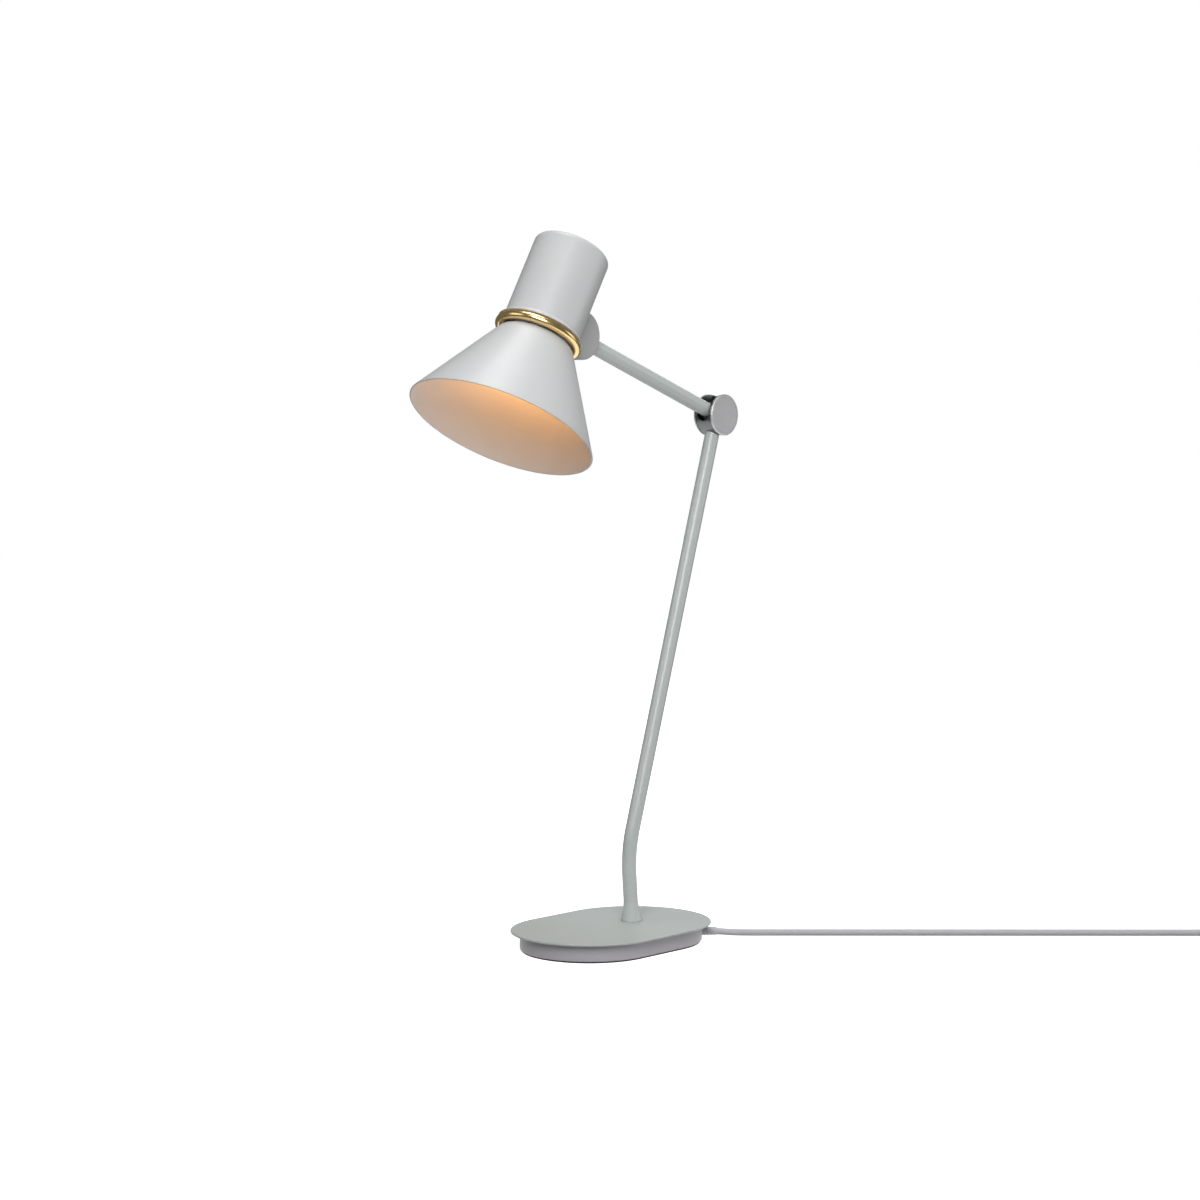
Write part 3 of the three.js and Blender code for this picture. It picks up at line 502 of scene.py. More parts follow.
def powder_coat(name, colour, roughness=0.36, texture=0.012):
    """Satin powder coat: a fine orange peel, and paint that varies very slightly."""
    material, nodes, link, shader = new_material(name, colour, roughness)
    patches = noise(nodes, link, 35, 3)
    vary(nodes, link, patches, shader, colour, 0.97, 1.03)
    specks = noise(nodes, link, 900, 3)
    link(spread(nodes, link, specks, roughness - 0.07, roughness + 0.07), shader.inputs["Roughness"])
    bump(nodes, link, noise(nodes, link, 1100, 2), shader, texture)
    return material


def turned_metal(name, colour, roughness, axis, fineness=2600, depth=0.01):
    """Metal with turning marks round an axis of the object's own coordinates."""
    material, nodes, link, shader = new_material(name, colour, roughness, 1.0)
    place = nodes.new("ShaderNodeTexCoord")
    rings = nodes.new("ShaderNodeTexWave")
    rings.wave_type = "RINGS"
    rings.rings_direction = axis
    set_inputs(rings, {"Scale": fineness / 6.3, "Distortion": 2.5, "Detail": 3, "Detail Scale": 1.5})
    link(place.outputs["Object"], rings.inputs["Vector"])
    link(spread(nodes, link, rings.outputs["Fac"], roughness - 0.06, roughness + 0.1),
         shader.inputs["Roughness"])
    patches = noise(nodes, link, 120, 3)
    vary(nodes, link, patches, shader, colour, 0.93, 1.04)
    bump(nodes, link, rings.outputs["Fac"], shader, depth)
    return material


def plain_metal(name, colour, roughness, texture=0.006):
    """Plated or blasted metal with a fine uneven surface."""
    material, nodes, link, shader = new_material(name, colour, roughness, 1.0)
    patches = noise(nodes, link, 160, 4)
    vary(nodes, link, patches, shader, colour, 0.9, 1.05)
    link(spread(nodes, link, patches, roughness - 0.05, roughness + 0.08), shader.inputs["Roughness"])
    bump(nodes, link, noise(nodes, link, 1500, 2), shader, texture)
    return material


def moulded(name, colour, roughness, texture=0.02, fineness=1400):
    """Moulded plastic or rubber with a spark-eroded grain."""
    material, nodes, link, shader = new_material(name, colour, roughness)
    patches = noise(nodes, link, 60, 3)
    vary(nodes, link, patches, shader, colour, 0.95, 1.05)
    bump(nodes, link, noise(nodes, link, fineness, 3), shader, texture)
    link(spread(nodes, link, noise(nodes, link, fineness / 3, 2), roughness - 0.06, roughness + 0.06),
         shader.inputs["Roughness"])
    return material


def braided(name, colour):
    """Woven sleeve on the flex: two sets of strands that cross, from the tube's own (u, v)."""
    strands = 12   # strands round the sleeve, each way
    pitch = 0.016  # metres of cord in one turn of a strand
    material, nodes, link, shader = new_material(name, colour, 0.75)
    set_inputs(shader, {"Sheen Weight": 0.25, "Sheen Roughness": 0.4})
    place = nodes.new("ShaderNodeTexCoord")
    heights = []
    for lean in (1, -1):
        parts = nodes.new("ShaderNodeVectorMath")
        parts.operation = "DOT_PRODUCT"
        parts.inputs[1].default_value = (strands, lean * strands / pitch, 0)
        link(place.outputs["UV"], parts.inputs[0])
        wave = nodes.new("ShaderNodeMath")
        wave.operation = "PINGPONG"
        wave.inputs[1].default_value = 0.5
        link(parts.outputs["Value"], wave.inputs[0])
        heights.append(wave.outputs["Value"])
    weave = nodes.new("ShaderNodeMath")
    weave.operation = "MULTIPLY"
    link(heights[0], weave.inputs[0])
    link(heights[1], weave.inputs[1])
    height = spread(nodes, link, weave.outputs["Value"], 0, 4)
    # Painted shade: the colour darkens in the low dips between the strands.
    vary(nodes, link, height, shader, colour, 0.72, 1.08)
    bump(nodes, link, height, shader, 0.25)
    return material


paint = powder_coat("paint", (0.557, 0.60, 0.587), 0.27)
plate_paint = powder_coat("plate_paint", (0.525, 0.572, 0.557), 0.44)
head_paint = powder_coat("head_paint", (0.61, 0.618, 0.622))
# Partly the housing's own slightly purple grey, partly painted shade: darker than the cap's paint where
# the housing sits in shade.
housing_tone_and_shade = powder_coat("housing_tone_and_shade", (0.42, 0.416, 0.424))
shade_inside = powder_coat("shade_inside", (0.74, 0.72, 0.70), 0.6)
skirt_paint = powder_coat("skirt_paint", (0.47, 0.455, 0.485), 0.38)
disc_metal = turned_metal("disc_metal", (0.63, 0.63, 0.64), 0.5, "Z")
drum_metal = turned_metal("drum_metal", (0.18, 0.188, 0.188), 0.34, "Z", 1800)
sleeve_metal = turned_metal("sleeve_metal", (0.55, 0.55, 0.56), 0.35, "Z")
# Painted reflection: the ring's gold tint stands in for the bulb's warm light seen in a polished pale
# ring.
gold = plain_metal("gold", (1.0, 0.74, 0.34), 0.2, 0.0008)
plated = plain_metal("plated", (0.55, 0.56, 0.57), 0.35)
blackened = plain_metal("blackened", (0.2, 0.202, 0.206), 0.5)
nickel = plain_metal("nickel", (0.66, 0.64, 0.6), 0.22, 0.002)
cast_iron = plain_metal("cast_iron", (0.08, 0.08, 0.085), 0.7, 0.08)
white_plastic = moulded("white_plastic", (0.78, 0.77, 0.74), 0.42)
nylon = moulded("nylon", (0.76, 0.73, 0.64), 0.5)
grey_plastic = moulded("grey_plastic", (0.6, 0.6, 0.62), 0.5)
rubber = moulded("rubber", (0.025, 0.025, 0.027), 0.8, 0.05, 900)
flex_braid = braided("flex_braid", (0.74, 0.74, 0.76))
tie_fabric = moulded("tie_fabric", (0.03, 0.03, 0.032), 0.85, 0.05, 1600)


BULB_GLOW = 4.2
GLOBE_LIGHT = (1.0, 0.5, 0.14)
NECK_LIGHT = (1.0, 0.38, 0.07)


def opal_glass():
    """Opal bulb: warm light, a little redder at the neck than low on the globe."""
    material, nodes, link, shader = new_material("opal_glass", (0.95, 0.88, 0.76), 0.3)
    place = nodes.new("ShaderNodeTexCoord")
    height = nodes.new("ShaderNodeSeparateXYZ")
    link(place.outputs["Object"], height.inputs["Vector"])
    bottom = (BULB_HEIGHT - BULB_RADIUS) * MM
    share = spread(nodes, link, height.outputs["Z"], 0, 1, bottom, BULB_FOOT * MM)
    link(tint(nodes, link, share, GLOBE_LIGHT, NECK_LIGHT), shader.inputs["Emission Color"])
    shader.inputs["Emission Strength"].default_value = BULB_GLOW
    bump(nodes, link, noise(nodes, link, 80, 2), shader, 0.05)
    return material


opal = opal_glass()


# -------- mains cord
# The free stretch repeats the CAD's route, in metres.
CORD_ROUTE = [
    (0.088, -0.032, 0.005), (0.0925, -0.0365, 0.00495), (0.097, -0.041, 0.0048),
    (0.1018, -0.0458, 0.0046), (0.108, -0.0521, 0.004), (0.115, -0.0594, 0.0035),
    (0.124, -0.0689, 0.0033), (0.137, -0.0827, 0.0033), (0.15, -0.0967, 0.0033),
    (0.175, -0.1237, 0.0033), (0.2, -0.1507, 0.0033), (0.225, -0.1777, 0.0033),
    (0.25, -0.2047, 0.0033), (0.275, -0.2317, 0.0033), (0.3, -0.2587, 0.0033),
    (0.325, -0.2857, 0.0033), (0.35, -0.3127, 0.0033), (0.375, -0.3397, 0.0033),
    (0.4, -0.3667, 0.0033), (0.425, -0.3937, 0.0033), (0.446, -0.4164, 0.0033),
]
TAIL_ROUTE = [
    (0.542, -0.4186, 0.0091), (0.5482, -0.411, 0.0074), (0.5544, -0.4007, 0.0054),
    (0.5588, -0.3896, 0.0054), (0.5611, -0.3804, 0.0068), (0.5615, -0.3779, 0.0069),
]
COIL_CENTRE = (494, -405.5)
COIL_START = 223     # degrees, where the cord runs onto the coil
COIL_RADII = (42.5, 36, 29.5)  # centre lines of the turns, outside to inside
COIL_TURNS = 5.25
TIE_ANGLE = 100      # degrees past the start
TIE_WIDTH = 8
TIE_THICK = 0.6
TIE_LIFT_REACH = 16  # along the cord, how far the tie lifts it
PLUG_HEADING = 81    # degrees about +Z, from +X


def smoothstep(value):
    value = min(max(value, 0), 1)
    return value * value * (3 - 2 * value)


def coil_points(per_turn=36):
    """Three turns inward on the floor, then back outward on top of them."""
    outer, step = COIL_RADII[0], CORD_DIAMETER
    points = []
    for k in range(int(COIL_TURNS * per_turn) + 1):
        turns = k / per_turn
        whole, part = divmod(turns, 1)
        if turns < 3:
            shift = smoothstep((part - 0.75) / 0.25) if whole < 2 else 0
            radius = outer - step * (whole + shift)
            rise = smoothstep((turns - 2.75) / 0.25)
        else:
            shift = smoothstep((part - 0.5) / 0.25)
            radius = outer - 2 * step + step * (whole - 3 + shift)
            rise = 1
        past_tie = (part * 360 - TIE_ANGLE) * math.pi / 180 * radius
        lift = (TIE_THICK + 0.05) * math.exp(-(past_tie / TIE_LIFT_REACH) ** 2)
        angle = math.radians(COIL_START + 360 * turns)
        points.append(Vector((
            COIL_CENTRE[0] + radius * math.cos(angle),
            COIL_CENTRE[1] + radius * math.sin(angle),
            CORD_LIE + step * rise + lift,
        )))
    return points


def through(points, spacing):
    """Catmull-Rom points through the given ones, at about the given spacing."""
    padded = [2 * points[0] - points[1], *points, 2 * points[-1] - points[-2]]
    fine = []
    for a, b, c, d in zip(padded, padded[1:], padded[2:], padded[3:]):
        steps = max(1, round((c - b).length / spacing))
        for k in range(steps):
            t = k / steps
            fine.append(0.5 * (2 * b + (c - a) * t + (2 * a - 5 * b + 4 * c - d) * t ** 2
                               + (3 * b - a - 3 * c + d) * t ** 3))
    fine.append(points[-1])
    return fine


def mains_cord():
    route = [Vector(p) / MM for p in CORD_ROUTE]
    tail = [Vector(p) / MM for p in TAIL_ROUTE]
    path = through(route + coil_points() + tail, 3.5)
    cord = tube("flex", path, CORD_DIAMETER / 2, 20)
    return put(cord, "base", "flex_braid", flex_braid, "mains_cord", "mains_coil", "mains_tail"), path


def coil_tie():
    """A strap round the coil's section."""
    half_wide = (COIL_RADII[0] - COIL_RADII[2] + CORD_DIAMETER) / 2 + TIE_THICK / 2 + 0.05
    top = 2 * CORD_DIAMETER + TIE_THICK * 1.5 + 0.1
    middle = (COIL_RADII[0] + COIL_RADII[2]) / 2
    bend = CORD_DIAMETER / 2
    loop = rounded([
        (middle - half_wide, TIE_THICK / 2, bend), (middle + half_wide, TIE_THICK / 2, bend),
        (middle + half_wide, top, bend), (middle - half_wide, top, bend),
    ], closed=True, steps=10)[:-1]
    inner = []
    outer = []
    count = len(loop)
    for k, point in enumerate(loop):
        run = Vector(loop[(k + 1) % count]) - Vector(loop[k - 1])
        outward = Vector((run.y, -run.x)).normalized() * TIE_THICK / 2
        inner.append(Vector(point) - outward)
        outer.append(Vector(point) + outward)
    vertices = []
    for side in (-0.5, 0.5):
        vertices += [(p.x, side * TIE_WIDTH, p.y) for p in inner + outer]
    near_in, near_out, far_in, far_out = (ring(count * i, count) for i in range(4))
    faces = []
    for pair in ((near_in, near_out), (far_in, far_out), (near_out, far_out), (near_in, far_in)):
        faces += band(*pair)
    place = move(*COIL_CENTRE, 0) @ turn(COIL_START + TIE_ANGLE, "Z")
    tie = make_piece("coil_tie", vertices, faces, place)
    return put(tie, "base", "pad_rubber", tie_fabric)


def strain_relief():
    """Tapered flexible sleeve with rings that let it bend."""
    inner = CORD_DIAMETER / 2 + 0.1
    outline = [(inner, -RELIEF_INSIDE), (RELIEF_RADIUS, -RELIEF_INSIDE), (RELIEF_RADIUS, 1.2)]
    rings = 5
    pitch = (RELIEF_LENGTH - 4) / rings
    for k in range(rings):
        start = 1.6 + k * pitch
        share = start / RELIEF_LENGTH
        size = RELIEF_RADIUS + (CORD_DIAMETER / 2 + 0.7 - RELIEF_RADIUS) * share
        waist = inner + (size - inner) * 0.55
        outline += [(waist, start), (waist, start + 0.9),
                    (size, start + 1.2), (size, start + pitch - 0.3)]
    tip = CORD_DIAMETER / 2 + 0.6
    outline += [(tip, RELIEF_LENGTH - 1.5), (tip - 0.25, RELIEF_LENGTH), (inner, RELIEF_LENGTH),
                outline[0]]
    relief = turned("relief", outline, OUTLET, FINE)
    return put(relief, "base", "grey_plastic", grey_plastic, "strain_relief")


PLUG_LENGTH = 36
PLUG_HALF_WIDTH = 17.3
PLUG_HALF_HEIGHT = 6.8
PLUG_NECK_WIDTH = 5     # half width at the cord
PLUG_NECK_HEIGHT = 4.6  # half height at the cord
PIN_LENGTH = 19
PIN_COVERED = 9.5       # the part of a pin inside its sleeve
PIN_SPACING = 18.6


def plug_place():
    end = Vector(TAIL_ROUTE[-1]) / MM
    heading = math.radians(PLUG_HEADING)
    x = end.x + GAP * math.cos(heading)
    y = end.y + GAP * math.sin(heading)
    return move(x, y, PLUG_HALF_HEIGHT + 0.1) @ turn(PLUG_HEADING, "Z")


def plug_body(place):
    """Flat plug, narrow at the cord and wide at the pins, with finger grooves and a seam."""
    stations = 48
    around = 72
    vertices = []
    for i in range(stations + 1):
        share = i / stations
        x = PLUG_LENGTH * share
        end = min(share, 1 - share) * PLUG_LENGTH
        rounding = 0.9 * max(0, 1 - end / 1.5) ** 2
        flare = smoothstep((share - 0.12) / 0.88)
        wide = PLUG_NECK_WIDTH + (PLUG_HALF_WIDTH - PLUG_NECK_WIDTH) * flare - rounding
        rise = smoothstep(share / 0.35)
        tall = PLUG_NECK_HEIGHT + (PLUG_HALF_HEIGHT - PLUG_NECK_HEIGHT) * rise - rounding
        waves = (share - 0.42) / 0.36
        groove = 0.45 * max(0, math.sin(waves * 4 * math.pi)) if 0 < waves < 1 else 0
        for k in range(around):
            angle = 2 * math.pi * k / around
            c, s = math.cos(angle), math.sin(angle)
            y = wide * math.copysign(abs(c) ** 0.62, c)
            z = tall * math.copysign(abs(s) ** 0.62, s)
            on_face = smoothstep((abs(s) - 0.55) / 0.3)
            seam = 0.18 * math.exp(-(z / 0.25) ** 2)
            vertices.append((x, y - math.copysign(seam, c), z - math.copysign(groove * on_face, s)))
    rings = [ring(i * around, around) for i in range(stations + 1)]
    faces = [rings[0], rings[-1]]
    for first, second in zip(rings, rings[1:]):
        faces += band(first, second)
    body = make_piece("plug", vertices, faces, place)
    return put(body, "base", "grey_plastic", grey_plastic, "plug_body")


def plug_pins(place):
    """Each pin is a metal rod with an insulating sleeve on its root."""
    pieces = []
    for number, side in ((1, -1), (2, 1)):
        root = place @ move(PLUG_LENGTH + GAP, side * PIN_SPACING / 2, 0) @ turn(90, "Y")
        rod = rounded([(0, PIN_COVERED), (2, PIN_COVERED), (2, PIN_LENGTH, 0.9), (0, PIN_LENGTH)])
        pin = turned(f"pin_{number}", rod, root, FINE)
        pieces.append(put(pin, "base", "nickel", nickel, f"plug_pin_{number}"))
        end = PIN_COVERED - 0.1
        cover = rounded([(0, -GAP), (1.95, -GAP), (1.95, end, 0.15), (0, end)])
        sleeve = turned(f"pin_sleeve_{number}", cover, root, FINE)
        pieces.append(put(sleeve, "base", "grey_plastic", grey_plastic))
    return pieces


cord, cord_path = mains_cord()
tie = coil_tie()
relief = strain_relief()
plug_at = plug_place()
plug = plug_body(plug_at)
pins = plug_pins(plug_at)


# -------- base
REACH = (BASE_LENGTH - BASE_WIDTH) / 2
SKIRT_RADIUS = BASE_WIDTH / 2 - OVERHANG
FLAT_FROM = 4  # inside this radius a stadium's face is one flat polygon


def base_plate():
    low = BASE_TOP - PLATE_THICK
    edge = BASE_WIDTH / 2
    outline = rounded([
        (FLAT_FROM, low), (edge, low, 0.8), (edge, BASE_TOP, 0.9), (FLAT_FROM, BASE_TOP),
    ], steps=6)
    plate = turned("plate", outline, reach=REACH, segments=2 * SMOOTH)
    carve(plate, [cylinder("hole", BUSH_HOLE, 0, 40, move(FOOT_X, 0, 0))])
    return put(plate, "base", "paint", plate_paint, "base_plate")


def base_skirt():
    low = PAD_THICK + GAP
    high = BASE_TOP - PLATE_THICK - GAP
    outline = rounded([
        (SKIRT_RADIUS - SKIRT_WALL, low), (SKIRT_RADIUS, low, 1.4),
        (SKIRT_RADIUS, high, 0.4), (SKIRT_RADIUS - SKIRT_WALL, high),
    ], closed=True)
    skirt = turned("skirt", outline, reach=REACH, segments=2 * SMOOTH)
    carve(skirt, [cylinder("hole", RELIEF_RADIUS + GAP, -12, 20, OUTLET)])
    return put(skirt, "base", "skirt_paint", skirt_paint, "base_skirt")


def foot_pad():
    edge = SKIRT_RADIUS - PAD_INSET
    outline = rounded([(FLAT_FROM, 0), (edge, 0, 0.3), (edge, PAD_THICK), (FLAT_FROM, PAD_THICK)])
    pad = turned("pad", outline, reach=REACH, segments=2 * SMOOTH)
    return put(pad, "base", "pad_rubber", rubber, "foot_pad")


# -------- lower arm
def foot_ferrule():
    """Smooth flare between the plate and the tube, cut level just above the plate."""
    outline = [(LEAD_HOLE, -4), (FERRULE_RADIUS + 0.9, -4)]
    steps = 28
    for k in range(steps + 1):
        share = k / steps
        size = TUBE_RADIUS + (FERRULE_RADIUS - TUBE_RADIUS) * (1 - share) ** 1.5
        outline.append((size, FERRULE_HEIGHT * share))
    top = FERRULE_HEIGHT + SPIGOT_LENGTH
    outline += [(SPIGOT_RADIUS, FERRULE_HEIGHT), (SPIGOT_RADIUS, top), (LEAD_HOLE, top), outline[0]]
    ferrule = turned("ferrule", outline, move(*foot) @ turn(-FOOT_LEAN, "Y"), 96)
    below = prism("below", [(-20, -30), (80, -30), (80, 30), (-20, 30)], 0, BASE_TOP + GAP)
    stud = cylinder("stud", STUD_RADIUS + GAP, 0, BASE_TOP + STUD_ROOM, move(FOOT_X, 0, 0))
    carve(ferrule, [below, stud])
    return put(ferrule, "lower_arm", "paint", paint, "foot_ferrule")


def lower_tube():
    """The cranked tube, from the ferrule to its saddle on the drum."""
    bend = math.radians(FOOT_LEAN + LOWER_BACK)
    enter = corner - foot_direction * (BEND_RADIUS * math.tan(bend / 2))
    inward = Vector((foot_direction.z, 0, -foot_direction.x))
    middle = enter + inward * BEND_RADIUS
    path = [foot + foot_direction * (FERRULE_HEIGHT + 0.1)]
    steps = 32
    for k in range(steps + 1):
        angle = bend * k / steps
        path.append(middle - inward * (BEND_RADIUS * math.cos(angle))
                    + foot_direction * (BEND_RADIUS * math.sin(angle)))
    long_step = 20
    straight = (elbow - path[-1]).length - DRUM_RADIUS - 3
    count = round(straight / long_step)
    start = path[-1].copy()
    path += [start + back_direction * (straight * k / count) for k in range(1, count + 1)]
    path.append(elbow - back_direction * (DRUM_RADIUS - 1))
    arm = tube("lower_stem", path, TUBE_RADIUS, bore=TUBE_BORE, saddle=(elbow, DRUM_RADIUS + GAP / 2))
    return put(arm, "lower_arm", "paint", paint, "lower_tube")


def elbow_drum():
    """Drum on the lower arm, with a slot for the upper one and a spigot for the tube."""
    pin_hole = PIN_RADIUS + GAP
    nut_hole = NUT_BOSS + GAP
    body = turned("drum", rounded([
        (pin_hole, -DRUM_HALF), (DRUM_RADIUS, -DRUM_HALF, 0.5), (DRUM_RADIUS, DRUM_HALF, 0.5),
        (nut_hole, DRUM_HALF), (nut_hole, SLOT_HALF), (DRUM_BORE, SLOT_HALF), (DRUM_BORE, -SLOT_HALF),
        (pin_hole, -SLOT_HALF),
    ], closed=True), ELBOW @ TO_Y)
    carve(body, swing_slot(180 - UPPER_RISE - ELBOW_UP, 180 - UPPER_RISE + ELBOW_DOWN, 25, ELBOW))
    soften(body, 0.3)
    low = DRUM_BORE + 0.8
    high = DRUM_RADIUS + SPIGOT_LENGTH
    spigot = turned("spigot", [
        (LEAD_HOLE, low), (SPIGOT_RADIUS, low), (SPIGOT_RADIUS, high), (LEAD_HOLE, high),
        (LEAD_HOLE, low),
    ], ELBOW @ turn(180 + LOWER_BACK, "Y"), FINE)
    carve(body, [spigot], "UNION")
    return put(body, "lower_arm", "satin_steel", drum_metal, "elbow_drum")


def disc_outline():
    """Elbow disc from its back, at 0, to its face: a bevel, a narrow rim and a shallow recess."""
    thick = DISC_FACE - DRUM_HALF - GAP
    return rounded([
        (0, 0), (DISC_RADIUS, 0, 0.15), (DISC_RADIUS, thick - DISC_BEVEL, 0.15),
        (DISC_RADIUS - DISC_BEVEL, thick, 0.15), (DISC_RADIUS - 2.6, thick, 0.1),
        (DISC_RADIUS - 2.9, thick - 0.12, 0.1), (0, thick - 0.12),
    ])


def elbow_bolt():
    place = ELBOW @ move(0, -DRUM_HALF - GAP, 0) @ turn(90, "X")
    disc = turned("disc_near", disc_outline(), place)
    carve(disc, [cylinder("shank", PIN_RADIUS, -20, 0.5, place)], "UNION")
    return put(disc, "lower_arm", "satin_aluminium", disc_metal, "elbow_bolt")


def elbow_nut():
    place = ELBOW @ move(0, DRUM_HALF + GAP, 0) @ TO_Y
    disc = turned("disc_far", disc_outline(), place)
    carve(disc, [cylinder("boss", NUT_BOSS, -2.4, 0.5, place)], "UNION")
    carve(disc, [cylinder("thread", PIN_RADIUS + 0.2, -5, 1.1, place)])
    return put(disc, "lower_arm", "satin_aluminium", disc_metal, "elbow_nut")


# -------- upper arm
def upper_tube():
    low = 15
    high = UPPER_LENGTH - 14.5
    outline = rounded([
        (TUBE_BORE, low), (TUBE_RADIUS, low, 0.35), (TUBE_RADIUS, high, 0.35), (TUBE_BORE, high),
    ], closed=True)
    arm = turned("upper_stem", outline, UPPER @ turn(-90, "Y"), FINE)
    return put(arm, "upper_arm", "paint", paint, "upper_tube")


# -------- head
def shade():
    """Cone with a rounded shoulder, a soft rim and a paler inside."""
    slope = math.tan(math.radians(SHADE_ANGLE))
    top_radius = SHADE_RIM - slope * SHADE_TOP
    wall = SHADE_WALL / math.cos(math.radians(SHADE_ANGLE))
    inside_top = SHADE_TOP - SHADE_WALL
    inside_radius = SHADE_RIM - wall - slope * inside_top
    outline = rounded([
        (SHADE_RIM, 0, 0.5), (top_radius, SHADE_TOP, SHADE_SHOULDER), (NECK_BORE, SHADE_TOP),
        (NECK_BORE, inside_top), (inside_radius, inside_top, SHADE_SHOULDER - SHADE_WALL),
        (SHADE_RIM - wall, 0, 0.5),
    ], closed=True, steps=8)
    cone = turned("shade_cone", outline, HEAD, 160)
    cone.data.materials.append(head_paint)
    cone.data.materials.append(shade_inside)
    for face in cone.data.polygons:
        towards_axis = face.normal.dot(Vector((face.center.x, face.center.y, 0))) < 0
        ceiling = face.normal.z < -0.9 and face.center.z > 0.05
        face.material_index = 1 if towards_axis or ceiling else 0
    return put(cone, "head", "head_paint", head_paint, "shade")


def shade_ring():
    high = SHADE_TOP - SHADE_WALL - GAP
    low = high - 1.8
    outline = rounded([(24, low), (33, low, 0.4), (33, high, 0.2), (24, high)], closed=True)
    clamp = turned("clamp_ring", outline, HEAD, ribs=(24, 0.6, 32, low - 1, low + 3))
    return put(clamp, "head", "plated_steel", plated, "shade_ring")


def neck_sleeve():
    seat = RING_MIDDLE - RING_SECTION - 0.4
    lip = CAP_RADIUS - CAP_WALL - GAP
    outline = rounded([
        (NECK_BORE, SHADE_TOP + GAP, 0.2), (NECK_RADIUS, SHADE_TOP + GAP, 0.2),
        (NECK_RADIUS, RING_HEIGHT - 2), (seat, RING_HEIGHT - 2, 0.2), (seat, RING_HEIGHT + 2, 0.2),
        (NECK_RADIUS, RING_HEIGHT + 2), (NECK_RADIUS, CAP_FOOT + 1), (lip, CAP_FOOT + 1, 0.2),
        (lip, CAP_FOOT + 3, 0.2), (NECK_RADIUS - 1, CAP_FOOT + 3), (NECK_RADIUS - 1, CAP_FOOT + 4),
        (NECK_BORE, CAP_FOOT + 4, 0.2),
    ], closed=True)
    sleeve = turned("neck", outline, HEAD)
    return put(sleeve, "head", "satin_aluminium", sleeve_metal, "neck_sleeve")


def gold_ring():
    steps = 40
    angles = [2 * math.pi * k / steps for k in range(steps)]
    outline = [(RING_MIDDLE + RING_SECTION * math.cos(a), RING_HEIGHT + RING_SECTION * math.sin(a))
               for a in angles]
    outline.append(outline[0])
    # The ring's gold tint is a painted reflection of the bulb's warm light.
    return put(turned("ring", outline, HEAD, 160), "head", "gold", gold, "gold_ring")


def collar_face(grow=0):
    """Concave face of the collar, from the lip up to the cap."""
    lip_rise = 0.7
    top_rise = CAP_FOOT - GAP - COLLAR_FOOT
    steps = 12
    face = []
    for k in range(steps + 1):
        share = k / steps
        radius = COLLAR_TOP + (COLLAR_LIP - COLLAR_TOP) * (1 - share) ** 1.65
        face.append((radius + grow, COLLAR_FOOT + lip_rise + (top_rise - lip_rise) * share))
    return face


def cap_collar():
    inner = NECK_RADIUS + GAP
    top = CAP_FOOT - GAP
    foot_edge = COLLAR_LIP - 0.3
    outline = [(inner, COLLAR_FOOT), (foot_edge - 0.3, COLLAR_FOOT), (foot_edge, COLLAR_FOOT + 0.03),
               (foot_edge + 0.25, COLLAR_FOOT + 0.25), (COLLAR_LIP, COLLAR_FOOT + 0.5), *collar_face(),
               (COLLAR_TOP - 0.25, top), (inner, top), (inner, COLLAR_FOOT)]
    collar = turned("collar", outline, HEAD, 160, sharp=50)
    return put(collar, "head", "head_paint", head_paint, "cap_collar")


def cap_shell():
    """The cap, with a window behind for the arm's hub and a hole for the switch."""
    inner = CAP_RADIUS - CAP_WALL
    hole = SWITCH_NECK + GAP
    outline = rounded([
        (CAP_RADIUS, CAP_FOOT, 0.35), (CAP_RADIUS, CAP_TOP, CAP_EDGE), (hole, CAP_TOP, 0.3),
        (hole, CAP_TOP - CAP_WALL), (inner, CAP_TOP - CAP_WALL, CAP_EDGE - CAP_WALL), (inner, CAP_FOOT),
    ], closed=True, steps=10)
    shell = turned("cap", outline, HEAD, 160)
    half = HEAD_HUB + 0.8
    side = SLOT_HALF + GAP
    window = prism("window", [(20, -side), (50, -side), (50, side), (20, side)],
                   PIVOT_HEIGHT - half, PIVOT_HEIGHT + half, HEAD)
    carve(shell, [window])
    return put(shell, "head", "head_paint", head_paint, "cap_shell")


def pivot_housing():
    """Short drum behind the cap, shaped to the cap, the collar and the ring in front of it."""
    axle = PIVOT @ TO_Y
    hole = PIN_RADIUS + GAP
    blind_end = -10.2
    body = turned("housing", rounded([
        (hole, HOUSING_HALF), (HOUSING_RADIUS, HOUSING_HALF, 1.1), (HOUSING_RADIUS, -HOUSING_HALF, 1.1),
        (0, -HOUSING_HALF), (0, blind_end), (hole, blind_end), (hole, -SLOT_HALF),
        (HOUSING_BORE, -SLOT_HALF), (HOUSING_BORE, SLOT_HALF), (hole, SLOT_HALF),
    ], closed=True, steps=6), axle)
    arm_angle = HEAD_TILT - UPPER_RISE
    carve(body, swing_slot(arm_angle - HEAD_DOWN, arm_angle + HEAD_UP, 30, PIVOT))
    ring_edge = RING_MIDDLE + RING_SECTION + GAP
    in_front = turned("in_front", [
        (0, 60), (ring_edge, 60), (ring_edge, COLLAR_FOOT + 0.7), *collar_face(0.5),
        (CAP_RADIUS + GAP, CAP_FOOT), (CAP_RADIUS + GAP, CAP_TOP), (0, CAP_TOP),
    ], HEAD, 160)
    carve(body, [in_front, cylinder("counterbore", BOLT_HEAD + GAP, 9, 20, axle)])
    # The housing's paint is darker than the cap's: partly its own tone, partly painted shade.
    return put(body, "head", "head_paint", housing_tone_and_shade, "pivot_housing")


